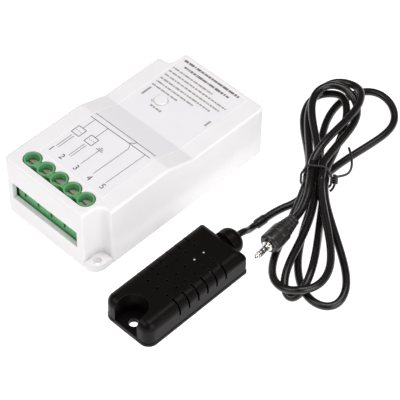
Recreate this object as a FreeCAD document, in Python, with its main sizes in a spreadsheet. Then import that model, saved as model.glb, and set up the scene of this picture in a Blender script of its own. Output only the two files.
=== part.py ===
# Wi-fi smart switch: a white relay module with five screw terminals, and its plug-in
# temperature and humidity probe on a cord that is tied up in a hank.
# Millimetres. The origin is the middle of the module's underside, +Y runs from the
# terminals to the jack, +Z is up.
import FreeCAD, Part
import math
import os
import re
from FreeCAD import Placement, Rotation, Vector
from Sketcher import Constraint

doc = FreeCAD.newDocument("smart_switch")

# Driving dimensions: name, value, what it is
SIZES = [
    ("body_length", 95.0, "module, terminal end to jack end"),
    ("body_width", 51.0, "module, across the terminals"),
    ("front_height", 29.5, "module, over the terminals"),
    ("rear_height", 25.0, "module, behind the ramp"),
    ("ramp_start", 41.0, "from the terminal end to the top of the ramp"),
    ("ramp_end", 54.5, "from the terminal end to the foot of the ramp"),
    ("wall", 2.0, "cover side wall and top"),
    ("corner_radius", 2.5, "cover, upright corners"),
    ("edge_radius", 1.1, "cover, top edges"),
    ("bend_radius", 4.0, "cover, the two bends of the ramp"),
    ("scoop_width", 6.2, "corner recess, across the module"),
    ("scoop_length", 9.3, "corner recess, along the module"),
    ("scoop_radius", 3.6, "corner recess, inner corner"),
    ("ear_height", 3.5, "mounting ear"),
    ("ear_radius", 5.0, "mounting ear, outer corner"),
    ("ear_hole_radius", 1.75, "mounting ear, hole"),
    ("ear_hole_across", 3.0, "ear hole from the module's long side"),
    ("ear_hole_along", 4.0, "ear hole from the module's end"),
    ("seam", 0.12, "gap between the cover and the base"),
    ("floor_thickness", 2.0, "base plate"),
    ("standoff_height", 2.6, "base plate, under the circuit board"),
    ("standoff_radius", 2.6, "base plate, board posts"),
    ("board_thickness", 1.6, "circuit board"),
    ("board_margin", 0.8, "circuit board to the cover walls"),
    ("screw_radius", 0.9, "board and case screws, thread"),
    ("screw_clearance", 0.05, "thread to its pilot hole"),
    ("screw_head_radius", 1.7, "board and case screws, head"),
    ("screw_head_height", 1.0, "board and case screws, head"),
    ("screw_length", 6.0, "case screws, under the head"),
    ("board_screw_length", 3.4, "board screws, under the head"),
    ("boss_radius", 2.4, "cover, screw pillars"),
    ("boss_clearance", 0.4, "screw pillar to the circuit board"),
    ("pillar_inset", 2.3, "screw pillar centre from the cover's inner wall"),
    ("pillar_front", 41.5, "front pair of pillars from the terminal end"),
    ("pillar_rear", 29.0, "rear pair of pillars from the jack end"),
    ("post_inset", 4.9, "board posts from the cover's inner wall"),
    ("post_front", 18.0, "front pair of board posts from the terminal end"),
    ("post_rear", 17.0, "rear pair of board posts from the jack end"),
    ("block_left_gap", 3.15, "terminal block to the cover's left wall"),
    ("block_right_gap", 0.15, "terminal block to the wall of the corner recess"),
    ("terminal_line", 7.5, "terminal screws from the terminal end"),
    ("terminal_front", 2.5, "terminal block from the terminal end"),
    ("terminal_depth", 12.1, "terminal block"),
    ("terminal_body_top", 21.9, "terminal block, above the underside"),
    ("tower_radius", 3.55, "terminal block, round towers"),
    ("tower_sink", 0.2, "tower tops under the cover's top"),
    ("web_sink", 0.3, "webs between the towers, under the tower tops"),
    ("web_front", 2.2, "webs between the towers, before the screws"),
    ("web_rear", 1.0, "webs between the towers, behind the screws"),
    ("tower_wall", 0.7, "round towers"),
    ("tower_floor", 2.6, "block above the clamps, under the screw heads"),
    ("well_gap", 0.4, "cover opening round the towers"),
    ("head_radius", 2.6, "terminal screw, head"),
    ("head_height", 1.8, "terminal screw, head"),
    ("head_slot", 0.8, "terminal screw, slot width"),
    ("head_slot_depth", 1.0, "terminal screw, slot depth"),
    ("thread_radius", 1.5, "terminal screw, thread"),
    ("thread_clearance", 0.05, "terminal screw to the clamp"),
    ("hole_clearance", 0.2, "terminal screw to the block"),
    ("slide_clearance", 0.1, "clamp to the block, each side"),
    ("clamp_width", 5.4, "wire clamp"),
    ("clamp_depth", 4.8, "wire clamp"),
    ("clamp_side", 0.8, "wire clamp, side walls"),
    ("clamp_floor", 1.0, "wire clamp, floor"),
    ("clamp_top", 1.5, "wire clamp, threaded top"),
    ("wire_floor", 13.4, "wire space, above the underside"),
    ("wire_space", 3.2, "wire space, open clamp"),
    ("contact_width", 3.2, "contact bar"),
    ("contact_thickness", 0.8, "contact bar"),
    ("entry_width", 4.4, "terminal block, wire holes"),
    ("notch_width", 1.2, "terminal block, notch under each wire hole"),
    ("notch_height", 2.6, "terminal block, notch under each wire hole"),
    ("slot_before", 0.85, "wire slot in the cover, left of the terminal block"),
    ("slot_short", 1.55, "wire slot in the cover, short of the block's right side"),
    ("slot_bottom", 9.2, "wire slot in the cover, above the underside"),
    ("slot_top", 17.8, "wire slot in the cover, above the underside"),
    ("button_across", 18.6, "button centre from the left side"),
    ("button_along", 68.2, "button centre from the terminal end"),
    ("button_radius", 2.8, "button"),
    ("button_gap", 0.15, "button to its hole"),
    ("button_proud", 0.5, "button above the cover"),
    ("button_flange", 3.6, "button, flange radius"),
    ("flange_thickness", 1.1, "button, flange"),
    ("flange_gap", 0.05, "button flange under the cover's top"),
    ("stem_radius", 1.4, "button, stem"),
    ("collar_wall", 1.0, "cover, collar round the button flange"),
    ("collar_height", 3.0, "cover, collar round the button flange"),
    ("button_travel", 0.3, "button and switch plunger"),
    ("key_size", 6.0, "push switch, square body"),
    ("key_height", 3.6, "push switch, body"),
    ("plunger_radius", 1.7, "push switch, plunger"),
    ("plunger_gap", 0.05, "push switch, plunger to its hole"),
    ("plunger_top", 5.3, "push switch, plunger above the board"),
    ("plunger_sink", 0.8, "push switch, plunger inside the body"),
    ("touch_gap", 0.03, "button stem to the plunger"),
    ("relay_width", 12.8, "relay"),
    ("relay_length", 29.0, "relay"),
    ("relay_height", 17.5, "relay"),
    ("relay_wall", 0.8, "relay case"),
    ("relay_floor", 2.0, "relay base"),
    ("coil_radius", 4.4, "relay, winding"),
    ("coil_flange", 5.0, "relay, bobbin flanges"),
    ("coil_flange_thickness", 0.6, "relay, bobbin flanges"),
    ("coil_length", 12.6, "relay, over the bobbin flanges"),
    ("coil_height", 6.8, "relay, coil axis above the relay base"),
    ("core_radius", 1.6, "relay, iron core"),
    ("core_proud", 0.6, "relay, core beyond the coil"),
    ("iron_thickness", 1.2, "relay, yoke"),
    ("yoke_gap", 0.3, "relay, yoke to the case"),
    ("iron_width", 8.0, "relay, yoke"),
    ("armature_width", 7.0, "relay, armature"),
    ("armature_height", 10.6, "relay, armature"),
    ("armature_gap", 0.7, "relay, armature to the core"),
    ("blade_thickness", 0.3, "relay, contact blade"),
    ("blade_width", 2.2, "relay, contact blade"),
    ("rivet_radius", 1.0, "relay, contact rivets"),
    ("rivet_height", 0.6, "relay, contact rivets"),
    ("rivet_gap", 1.15, "relay, open contacts"),
    ("fuse_radius", 2.6, "fuse, glass tube"),
    ("fuse_length", 20.0, "fuse, over the caps"),
    ("fuse_cap", 5.0, "fuse, end cap length"),
    ("fuse_cap_wall", 0.2, "fuse, end cap"),
    ("fuse_along", 17.5, "fuse from the terminal end"),
    ("disc_radius", 5.5, "varistor"),
    ("disc_thickness", 4.0, "varistor"),
    ("varistor_along", 25.5, "varistor from the terminal end"),
    ("safety_width", 7.5, "safety capacitor"),
    ("safety_length", 15.0, "safety capacitor"),
    ("safety_height", 13.0, "safety capacitor"),
    ("safety_along", 23.0, "safety capacitor from the terminal end"),
    ("transformer_width", 15.0, "transformer"),
    ("transformer_length", 13.0, "transformer"),
    ("transformer_height", 13.5, "transformer"),
    ("core_bar", 3.0, "transformer, core bars"),
    ("transformer_along", 47.5, "transformer from the terminal end"),
    ("can_radius", 4.6, "electrolytic capacitors"),
    ("can_height", 13.0, "electrolytic capacitors"),
    ("radio_width", 15.0, "radio board"),
    ("radio_length", 17.0, "radio board"),
    ("radio_thickness", 0.9, "radio board"),
    ("radio_gap", 0.4, "radio board to the board screw's head"),
    ("shield_height", 2.4, "radio shield can"),
    ("shield_margin", 1.2, "radio shield can to its board"),
    ("shield_wall", 0.25, "radio shield can"),
    ("led_radius", 1.5, "signal lamps"),
    ("led_height", 4.6, "signal lamps"),
    ("lamps_across", 10.0, "signal lamps from the module's left side"),
    ("jack_radius", 1.25, "plug shaft"),
    ("jack_clearance", 0.06, "plug shaft to its socket"),
    ("jack_depth", 8.6, "socket bore"),
    ("jack_width", 6.6, "socket body"),
    ("jack_length", 12.0, "socket body"),
    ("jack_height", 5.6, "socket body"),
    ("jack_nose", 2.5, "socket nose in the cover wall"),
    ("jack_nose_gap", 0.15, "socket nose to the cover wall"),
    ("spring_thickness", 0.3, "socket contact springs"),
    ("spring_width", 1.2, "socket contact springs"),
    ("probe_across", 53.5, "probe's middle line, right of the module's middle"),
    ("probe_front", -58.3, "probe's front end, along the module"),
    ("probe_length", 53.7, "probe"),
    ("probe_width", 24.4, "probe"),
    ("probe_height", 11.9, "probe"),
    ("probe_wall", 1.4, "probe cover"),
    ("probe_base", 1.3, "probe base plate"),
    ("probe_lip", 0.2, "probe base plate, beyond the cover"),
    ("probe_round", 4.0, "probe cover, top edges but for the rear one"),
    ("probe_inner_round", 2.6, "probe cover, long top edges inside"),
    ("probe_corner", 4.2, "probe, front corners"),
    ("probe_rear_corner", 1.0, "probe, rear corners"),
    ("arch_radius", 6.0, "probe, recess round the mounting hole"),
    ("arch_floor", 2.1, "probe, recess floor above the underside"),
    ("probe_hole_radius", 2.0, "probe, mounting hole"),
    ("probe_hole_along", 4.2, "probe, mounting hole from the front end"),
    ("vent_pitch", 5.0, "probe, vents along"),
    ("vent_first", 41.9, "probe, nearest vents to the cord, from the front end"),
    ("vent_row", 5.0, "probe, rows of round vents"),
    ("vent_radius", 0.55, "probe, round vents"),
    ("slit_width", 1.0, "probe, curved slits"),
    ("slit_inner", 7.4, "probe, slits' inner ends from the middle line"),
    ("slit_bottom", 6.0, "probe, slits' lower ends above the underside"),
    ("post_radius", 1.8, "probe, board posts"),
    ("probe_board_width", 18.6, "probe circuit board"),
    ("probe_board_length", 31.0, "probe circuit board"),
    ("probe_board_thickness", 1.2, "probe circuit board"),
    ("probe_board_height", 3.0, "probe circuit board above the underside"),
    ("probe_board_along", 15.0, "probe circuit board from the probe's front end"),
    ("probe_post_inset", 3.0, "probe, board posts from the circuit board's ends"),
    ("sensor_width", 9.0, "sensing element"),
    ("sensor_length", 9.0, "sensing element"),
    ("sensor_across", 2.0, "sensing element, left side from the probe's middle line"),
    ("sensor_along", 35.3, "sensing element from the probe's front end"),
    ("sensor_gap", 0.6, "sensing element to the probe cover"),
    ("gland_radius", 5.7, "cord gland"),
    ("gland_length", 6.4, "cord gland"),
    ("gland_neck", 3.2, "cord gland, neck through the probe's wall"),
    ("gland_round", 3.6, "cord gland, outer edge"),
    ("lead_radius", 1.4, "thin lead at the probe"),
    ("sleeve_radius", 1.95, "sleeve over the lead's joint"),
    ("sleeve_length", 4.7, "sleeve over the lead's joint"),
    ("sleeve_across", 52.5, "start of the sleeve, right of the module's middle"),
    ("sleeve_along", 14.7, "start of the sleeve, along the module"),
    ("sleeve_turn", 86.6, "sleeve, degrees from the module's right side"),
    ("cord_radius", 1.6, "cord"),
    ("cord_clearance", 0.5, "least gap between turns of the hank"),
    ("waist_height", 1.5, "tie under the hank's lowest strands"),
    ("waist_half", 4.0, "half the tied stretch"),
    ("waist_across", 54.8, "tie, right of the module's middle"),
    ("waist_along", 47.2, "tie, along the module"),
    ("waist_turn", 127.0, "tied strands, degrees from the module's right side"),
    ("join_back", 0.8, "cord's run meets the first strand this far before the tie's middle"),
    ("tie_radius", 0.5, "tie, wire"),
    ("tie_gap", 0.35, "tie to the cords"),
    ("knot_radius", 1.3, "tie, twisted knot"),
    ("knot_length", 4.4, "tie, twisted knot"),
    ("knot_height", 6.0, "tie, middle of the knot above the floor"),
    ("plug_across", 66.8, "front of the plug's grip, right of the module's middle"),
    ("plug_height", 8.3, "plug's middle line above the floor"),
    ("plug_front", 6.1, "front of the plug's grip, along the module"),
    ("plug_turn", 7.0, "plug, degrees out of line with the module"),
    ("grip_radius", 4.4, "plug, grip"),
    ("grip_length", 9.6, "plug, grip"),
    ("grip_round", 0.9, "plug, grip's front edge"),
    ("relief_length", 7.4, "plug, ribbed relief"),
    ("relief_wide", 3.6, "plug, relief radius at the grip"),
    ("relief_narrow", 2.2, "plug, relief radius at the cord"),
    ("rib_count", 4, "plug, ribs of the relief"),
    ("rib_gap", 0.9, "plug, grooves between the ribs"),
    ("collar_radius", 2.3, "plug, metal collar"),
    ("collar_length", 0.8, "plug, metal collar"),
    ("shaft_length", 7.6, "plug, shaft beyond the collar"),
    ("plug_root", 3.0, "plug, shaft's root inside the grip"),
    ("ring_gap", 0.45, "plug, insulating rings"),
    ("pole_length", 1.35, "plug, middle poles"),
    ("tip_length", 2.2, "plug, tip pole"),
    ("tip_radius", 0.45, "plug, end of the tip"),
    ("tip_share", 0.6, "plug, tapered share of the tip"),
]
NAMES = {name for name, value, note in SIZES}

# Places worked out from the driving dimensions
PLACES = {
    "front": "-body_length / 2",
    "rear": "body_length / 2",
    "left": "-body_width / 2",
    "right": "body_width / 2",
    "inner_front": "front + wall",
    "inner_rear": "rear - wall",
    "inner_left": "left + wall",
    "inner_right": "right - wall",
    "front_ceiling": "front_height - wall",
    "rear_ceiling": "rear_height - wall",
    "scoop_wall_across": "scoop_width + wall",
    "scoop_wall_along": "scoop_length + wall",
    "board_bottom": "floor_thickness + standoff_height",
    "board_top": "board_bottom + board_thickness",
    "terminal_y": "front + terminal_line",
    "block_front": "front + terminal_front",
    "block_rear": "block_front + terminal_depth",
    "block_left": "inner_left + block_left_gap",
    "block_right": "right - scoop_wall_across - block_right_gap",
    "terminal_pitch": "(block_right - block_left) / 5",
    "tower_top": "front_height - tower_sink",
    "head_seat": "terminal_body_top + tower_floor",
    "contact_bottom": "wire_floor + wire_space",
    "contact_top": "contact_bottom + contact_thickness",
    "clamp_top_bottom": "contact_top + slide_clearance",
    "clamp_bottom": "wire_floor - clamp_floor",
    "button_x": "left + button_across",
    "button_y": "front + button_along",
    "flange_top": "rear_ceiling - flange_gap",
    "post_x": "inner_right - post_inset",
    "jack_end": "inner_rear - slide_clearance - jack_length",
    "fuse_outer": "fuse_radius + fuse_cap_wall",
    "row_width": "safety_width + 2 * fuse_outer + disc_thickness + relay_width",
    "row_gap": "(post_x - screw_head_radius - inner_left - row_width) / 5",
    "rear_gap": "(inner_right - inner_left - transformer_width - 4 * can_radius - slide_clearance) / 3",
    "column_gap": "(jack_end - block_rear - relay_length - 2 * can_radius - radio_length) / 4",
    "relay_x": "post_x - screw_head_radius - row_gap - relay_width",
    "relay_y": "block_rear + column_gap",
    "relay_inside": "board_top + relay_floor",
    "relay_middle": "relay_x + relay_width / 2",
    "coil_axis": "relay_inside + coil_height",
    "yoke_back": "relay_y + relay_wall + yoke_gap",
    "coil_back": "yoke_back + iron_thickness",
    "core_end": "coil_back + coil_length + core_proud",
    "armature_face": "core_end + armature_gap",
    "jack_axis": "board_top + jack_height / 2",
    "fuse_x": "safety_x + safety_width + row_gap + fuse_outer",
    "fuse_front": "front + fuse_along",
    "varistor_x": "relay_x - row_gap - disc_thickness / 2",
    "varistor_y": "front + varistor_along",
    "safety_x": "inner_left + row_gap",
    "safety_y": "front + safety_along",
    "transformer_x": "inner_left + rear_gap",
    "transformer_y": "front + transformer_along",
    "cans_x": "transformer_x + transformer_width + rear_gap + can_radius",
    "cans_y": "radio_y - column_gap - can_radius",
    "radio_x": "post_x - screw_head_radius - radio_gap - radio_width",
    "radio_y": "jack_end - column_gap - radio_length",
    "lamps_x": "left + lamps_across",
    "probe_board_y": "probe_front + probe_board_along",
    "sensor_x": "probe_across - sensor_across",
    "sensor_y": "probe_front + sensor_along",
    "probe_rear": "probe_front + probe_length",
    "probe_left": "probe_across - probe_width / 2",
    "probe_right": "probe_across + probe_width / 2",
    "probe_hole_y": "probe_front + probe_hole_along",
    "vent_y": "probe_front + vent_first",
    "gland_start": "probe_rear + probe_lip + seam",
    "gland_height": "probe_height / 2",
}

sheet = doc.addObject("Spreadsheet::Sheet", "Sizes")
for line, (name, value, note) in enumerate(SIZES, 1):
    sheet.set(f"A{line}", name)
    sheet.set(f"B{line}", str(value))
    sheet.set(f"C{line}", note)
    sheet.setAlias(f"B{line}", name)
doc.recompute()


def formula(text):
    """Open up the places in a formula, and point its names at the sheet."""

    def meaning(match):
        word = match.group(0)
        if word in PLACES:
            return f"({formula(PLACES[word])})"
        return f"Sizes.{word}" if word in NAMES else word

    return re.sub(r"[a-z_]+", meaning, str(text))


def bind(thing, **formulas):
    for name, text in formulas.items():
        thing.setExpression(name.replace("__", "."), formula(text))


# Turns that lay a primitive's own Z axis along a row axis
TURNS = {
    "z": Rotation(),
    "-z": Rotation(Vector(1, 0, 0), 180),
    "y": Rotation(Vector(1, 0, 0), -90),
    "-y": Rotation(Vector(1, 0, 0), 90),
    "x": Rotation(Vector(0, 1, 0), 90),
}


def piece(label):
    """A new sub-part, built up feature by feature."""
    body = doc.addObject("PartDesign::Body", label)
    body.Label = label
    return body


def feature(body, kind, at, turn="z", **sizes):
    """An added or cut primitive at a bound place."""
    step = body.newObject("PartDesign::" + kind, body.Label + "_" + kind)
    step.Placement = Placement(Vector(), TURNS[turn])
    bind(step, **sizes)
    bind(step, Placement__Base__x=at[0], Placement__Base__y=at[1], Placement__Base__z=at[2])
    return step


def box(body, x, y, z, kind="Additive"):
    """A box from the first to the second place along each axis."""
    return feature(
        body, kind + "Box", (x[0], y[0], z[0]),
        Length=f"{x[1]} - ({x[0]})", Width=f"{y[1]} - ({y[0]})", Height=f"{z[1]} - ({z[0]})")


def rod(body, at, radius, length, turn="z", kind="Additive"):
    return feature(body, kind + "Cylinder", at, turn, Radius=radius, Height=length)


def cone(body, at, start, end, length, turn="z", kind="Additive"):
    return feature(body, kind + "Cone", at, turn, Radius1=start, Radius2=end, Height=length)


def cut_box(body, x, y, z):
    return box(body, x, y, z, "Subtractive")


def cut_rod(body, at, radius, length, turn="z"):
    return rod(body, at, radius, length, turn, "Subtractive")


def profile(body, kind, points, **sizes):
    """Pad or pocket an outline of the YZ plane, evenly to both sides of that plane."""
    plane = next(p for p in body.Origin.OriginFeatures if p.Role == "YZ_Plane")
    sketch = body.newObject("Sketcher::SketchObject", body.Label + "_outline")
    sketch.AttachmentSupport = (plane, "")
    sketch.MapMode = "FlatFace"
    rough = [(10 * math.cos(turn), 10 * math.sin(turn))
             for turn in (2 * math.pi * i / len(points) for i in range(len(points)))]
    for i, (y, z) in enumerate(rough):
        end = rough[(i + 1) % len(rough)]
        sketch.addGeometry(Part.LineSegment(Vector(y, z, 0), Vector(end[0], end[1], 0)), False)
    for i in range(len(points)):
        sketch.addConstraint(Constraint("Coincident", i, 2, (i + 1) % len(points), 1))
    for i, (y, z) in enumerate(points):
        for way, text in (("DistanceX", y), ("DistanceY", z)):
            number = sketch.addConstraint(Constraint(way, -1, 1, i, 1, rough[i][way == "DistanceY"]))
            sketch.renameConstraint(number, f"{way}{i}")
            sketch.setExpression(f"Constraints.{way}{i}", formula(text))
    step = body.newObject("PartDesign::" + kind, body.Label + "_" + kind)
    step.Profile = sketch
    step.Midplane = True
    bind(step, **sizes)
    return step


def choose(shape, wanted):
    """Names of the edges that pass a test on the edge, its middle point and its direction."""
    names = []
    for number, edge in enumerate(shape.Edges, 1):
        if edge.Degenerated:
            continue
        half = (edge.FirstParameter + edge.LastParameter) / 2
        if wanted(edge, edge.valueAt(half), edge.tangentAt(half)):
            names.append(f"Edge{number}")
    return names


def soften(body, radius, wanted, kind="Fillet"):
    """Round, or bevel, the edges of a body that pass a test."""
    doc.recompute()
    base = body.Tip
    step = body.newObject("PartDesign::" + kind, body.Label + "_" + kind)
    step.Base = (base, choose(base.Shape, wanted))
    bind(step, **{"Radius" if kind == "Fillet" else "Size": radius})
    return step


def rim(shape):
    """A test for the edges between an upright side and a face that looks up."""

    def wanted(edge, middle, way):
        rises = []
        for face in shape.ancestorsOfType(edge, Part.Face):
            rises.append(face.normalAt(*face.Surface.parameter(middle)).z)
        return len(rises) == 2 and min(map(abs, rises)) < 0.05 and max(rises) > 0.5

    return wanted


def near(first, second, within=0.01):
    return abs(first - second) < within


def upright(*points):
    """A test for the upright edges at any of the given points of the plan."""
    return lambda edge, middle, way: near(abs(way.z), 1) and any(
        near(middle.x, x) and near(middle.y, y) for x, y in points)


# The sheet's numbers, for the shapes and edge tests that need them in code
value = {name: float(getattr(sheet, name)) for name in NAMES}
HALF_WIDTH = value["body_width"] / 2
HALF_LENGTH = value["body_length"] / 2
SCOOP_X = HALF_WIDTH - value["scoop_width"]
SCOOP_Y = HALF_LENGTH - value["scoop_length"]
TERMINALS = range(1, 6)
PILLARS = [(side, along) for side in (-1, 1) for along in ("front + pillar_front", "rear - pillar_rear")]


def pillar_at(side, along, height):
    return f"{side} * (inner_right - pillar_inset)", along, height


def posts():
    """Middles of the four board posts in the plan."""
    return [(f"{side} * post_x", along) for side in (-1, 1)
            for along in ("front + post_front", "rear - post_rear")]


def terminal_x(number):
    return f"(block_left + {number - 0.5} * terminal_pitch)"


def top_cover():
    cover = piece("top_cover")
    box(cover, ("left", "right"), ("front", "rear"), (0, "front_height"))
    profile(cover, "Pocket", [
        ("front + ramp_start", "front_height"), ("front + ramp_end", "rear_height"),
        ("rear + wall", "rear_height"), ("rear + wall", "front_height + wall"),
        ("front + ramp_start", "front_height + wall")], Length="body_width + wall")
    soften(cover, "bend_radius", lambda edge, middle, way: near(abs(way.x), 1) and (
        abs(middle.y) < HALF_LENGTH - 1 and middle.z > value["wall"]))
    soften(cover, "corner_radius", upright((-HALF_WIDTH, -HALF_LENGTH), (HALF_WIDTH, HALF_LENGTH)))
    cut_box(cover, ("right - scoop_width", "right + wall"), ("front - wall", "front + scoop_length"),
            ("-wall", "front_height + wall"))
    cut_box(cover, ("left - wall", "left + scoop_width"), ("rear - scoop_length", "rear + wall"),
            ("-wall", "front_height + wall"))
    soften(cover, "scoop_radius", upright((SCOOP_X, -SCOOP_Y), (-SCOOP_X, SCOOP_Y)))
    soften(cover, "edge_radius", upright(
        (SCOOP_X, -HALF_LENGTH), (HALF_WIDTH, -SCOOP_Y), (-SCOOP_X, HALF_LENGTH), (-HALF_WIDTH, SCOOP_Y)))
    doc.recompute()
    soften(cover, "edge_radius", rim(cover.Tip.Shape))

    ends = ("front + scoop_wall_along", "rear - scoop_wall_along")
    profile(cover, "Pocket", [
        (ends[0], "-wall"), (ends[1], "-wall"), (ends[1], "rear_ceiling"),
        ("front + ramp_end", "rear_ceiling"), ("front + ramp_start", "front_ceiling"),
        (ends[0], "front_ceiling")], Length="body_width - 2 * wall")
    cut_box(cover, ("inner_left", "right - scoop_wall_across"), ("inner_front", ends[0]),
            ("-wall", "front_ceiling"))
    cut_box(cover, ("left + scoop_wall_across", "inner_right"), (ends[1], "inner_rear"),
            ("-wall", "rear_ceiling"))
    passage = ("-wall", "ear_height + seam")
    cut_box(cover, ("right - scoop_wall_across - seam", "inner_right"),
            ("inner_front", "front + scoop_wall_along + seam"), passage)
    cut_box(cover, ("inner_left", "left + scoop_wall_across + seam"),
            ("rear - scoop_wall_along - seam", "inner_rear"), passage)

    for side, along in PILLARS:
        top = "front_ceiling" if along.startswith("front") else "rear_ceiling + wall / 2"
        rod(cover, pillar_at(side, along, "floor_thickness"), "boss_radius", f"{top} - floor_thickness")
        cut_rod(cover, pillar_at(side, along, "floor_thickness - wall"), "screw_radius + screw_clearance",
                "screw_length + wall")

    collar_foot = "rear_ceiling - collar_height"
    rod(cover, ("button_x", "button_y", collar_foot), "button_flange + slide_clearance + collar_wall",
        "collar_height + wall / 2")
    cut_rod(cover, ("button_x", "button_y", collar_foot), "button_flange + slide_clearance", "collar_height")
    cut_rod(cover, ("button_x", "button_y", collar_foot), "button_radius + button_gap",
            "collar_height + 2 * wall")

    opening = "(tower_radius + well_gap)"
    for number in TERMINALS:
        cut_rod(cover, (terminal_x(number), "terminal_y", "front_ceiling - wall"), opening, "3 * wall")
    cut_box(cover, (terminal_x(1), terminal_x(5)), (f"terminal_y - {opening}", "terminal_y"),
            ("front_ceiling - wall", "front_height + wall"))
    cut_box(cover, ("block_left - slot_before", "block_right - slot_short"),
            ("front - wall", "inner_front + seam"), ("slot_bottom", "slot_top"))
    cut_rod(cover, (0, "inner_rear - wall", "jack_axis"), "jack_nose + jack_nose_gap", "3 * wall", "y")


def base_plate():
    base = piece("base_plate")
    box(base, ("inner_left + seam", "inner_right - seam"), ("inner_front + seam", "inner_rear - seam"),
        (0, "floor_thickness"))
    box(base, ("right - scoop_width + seam", "right"), ("front", "front + scoop_length - seam"),
        (0, "ear_height"))
    box(base, ("right - scoop_wall_across", "inner_right - seam"),
        ("inner_front + seam", "front + scoop_wall_along"), (0, "ear_height"))
    box(base, ("left", "left + scoop_width - seam"), ("rear - scoop_length + seam", "rear"),
        (0, "ear_height"))
    box(base, ("inner_left + seam", "left + scoop_wall_across"),
        ("rear - scoop_wall_along", "inner_rear - seam"), (0, "ear_height"))
    soften(base, "ear_radius", upright((HALF_WIDTH, -HALF_LENGTH), (-HALF_WIDTH, HALF_LENGTH)))
    for side, end in ((1, "front + ear_hole_along"), (-1, "rear - ear_hole_along")):
        cut_rod(base, (f"{side} * (right - ear_hole_across)", end, "-wall"), "ear_hole_radius",
                "ear_height + 2 * wall")
    for across, along in posts():
        rod(base, (across, along, "floor_thickness / 2"), "standoff_radius",
            "standoff_height + floor_thickness / 2")
        cut_rod(base, (across, along, "board_top - board_screw_length - screw_clearance"),
                "screw_radius + screw_clearance", "board_screw_length + wall")
    for side, along in PILLARS:
        cut_rod(base, pillar_at(side, along, "-wall"), "screw_radius + hole_clearance",
                "floor_thickness + 2 * wall")
        cut_rod(base, pillar_at(side, along, "-wall"), "screw_head_radius + hole_clearance",
                "screw_head_height + screw_clearance + wall")


def screw(group, at, turn, length):
    """A screw whose head is seated at the given place."""
    rod(group, at, "screw_radius", length, turn)
    rod(group, at, "screw_head_radius", "screw_head_height", "-z" if turn == "z" else "z")


def case_screws():
    group = piece("case_screws")
    for side, along in PILLARS:
        screw(group, pillar_at(side, along, "screw_head_height + screw_clearance"), "z",
                "screw_length - wall")


def board_screws():
    group = piece("board_screws")
    for across, along in posts():
        screw(group, (across, along, "board_top"), "-z", "board_screw_length")


def main_board():
    board = piece("main_board")
    margin = "board_margin"
    box(board, (f"inner_left + {margin}", f"inner_right - {margin}"),
        (f"inner_front + {margin}", f"inner_rear - {margin}"), ("board_bottom", "board_top"))
    cut_box(board, (f"right - scoop_wall_across - {margin}", "right"),
            ("front", f"front + scoop_wall_along + {margin}"), (0, "board_top + wall"))
    cut_box(board, ("left", f"left + scoop_wall_across + {margin}"),
            (f"rear - scoop_wall_along - {margin}", "rear"), (0, "board_top + wall"))
    for side, along in PILLARS:
        cut_rod(board, pillar_at(side, along, 0), "boss_radius + boss_clearance", "board_top + wall")
    for across, along in posts():
        cut_rod(board, (across, along, 0), "screw_radius + hole_clearance", "board_top + wall")


def terminal_block():
    block = piece("terminal_block")
    box(block, ("block_left", "block_right"), ("block_front", "block_rear"),
            ("board_top", "terminal_body_top"))
    box(block, (terminal_x(1), terminal_x(5)), ("terminal_y - web_front", "terminal_y + web_rear"),
        ("terminal_body_top", "tower_top - web_sink"))
    for number in TERMINALS:
        rod(block, (terminal_x(number), "terminal_y", "terminal_body_top - tower_floor"), "tower_radius",
            "tower_top - terminal_body_top + tower_floor")
    for number in TERMINALS:
        x = terminal_x(number)
        cut_rod(block, (x, "terminal_y", "head_seat"), "tower_radius - tower_wall", "front_height")
        cut_rod(block, (x, "terminal_y", "contact_top"), "thread_radius + hole_clearance", "front_height")
        cut_box(block, (f"{x} - clamp_width / 2 - slide_clearance",
                f"{x} + clamp_width / 2 + slide_clearance"),
                ("terminal_y - clamp_depth / 2 - slide_clearance",
                "terminal_y + clamp_depth / 2 + slide_clearance"),
                ("clamp_bottom - slide_clearance", "terminal_body_top"))
        cut_box(block, (f"{x} - entry_width / 2", f"{x} + entry_width / 2"),
                ("block_front - wall", "terminal_y"),
                ("wire_floor", "contact_bottom"))
        cut_box(block, (f"{x} - notch_width / 2", f"{x} + notch_width / 2"),
                ("block_front - wall", "terminal_y"),
                ("wire_floor - notch_height", "contact_bottom"))
        cut_box(block, (f"{x} - contact_width / 2 - slide_clearance",
                f"{x} + contact_width / 2 + slide_clearance"),
                ("terminal_y", "terminal_y + clamp_depth / 2 + contact_thickness + 3 * slide_clearance"),
                ("board_top - wall", "contact_top + slide_clearance"))


def terminal_screws():
    for number in TERMINALS:
        one = piece(f"terminal_screw_{number}")
        x = terminal_x(number)
        rod(one, (x, "terminal_y", "head_seat + thread_clearance"), "head_radius", "head_height")
        tip = "contact_top + thread_clearance"
        rod(one, (x, "terminal_y", tip), "thread_radius", f"head_seat + head_height / 2 - ({tip})")
        cut_box(one, (f"{x} - head_radius", f"{x} + head_radius"),
                ("terminal_y - head_slot / 2", "terminal_y + head_slot / 2"),
                ("head_seat + thread_clearance + head_height - head_slot_depth", "front_height"))


def clamp_cages():
    for number in TERMINALS:
        cage = piece(f"clamp_cage_{number}")
        x = terminal_x(number)
        sides = (f"{x} - clamp_width / 2", f"{x} + clamp_width / 2")
        box(cage, sides, ("terminal_y - clamp_depth / 2", "terminal_y + clamp_depth / 2"),
            ("clamp_bottom", "clamp_top_bottom + clamp_top"))
        cut_box(cage, (f"{sides[0]} + clamp_side", f"{sides[1]} - clamp_side"),
                ("terminal_y - clamp_depth", "terminal_y + clamp_depth"), ("wire_floor", "clamp_top_bottom"))
        cut_rod(cage, (x, "terminal_y", "contact_top"), "thread_radius + thread_clearance", "clamp_depth")


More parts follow.
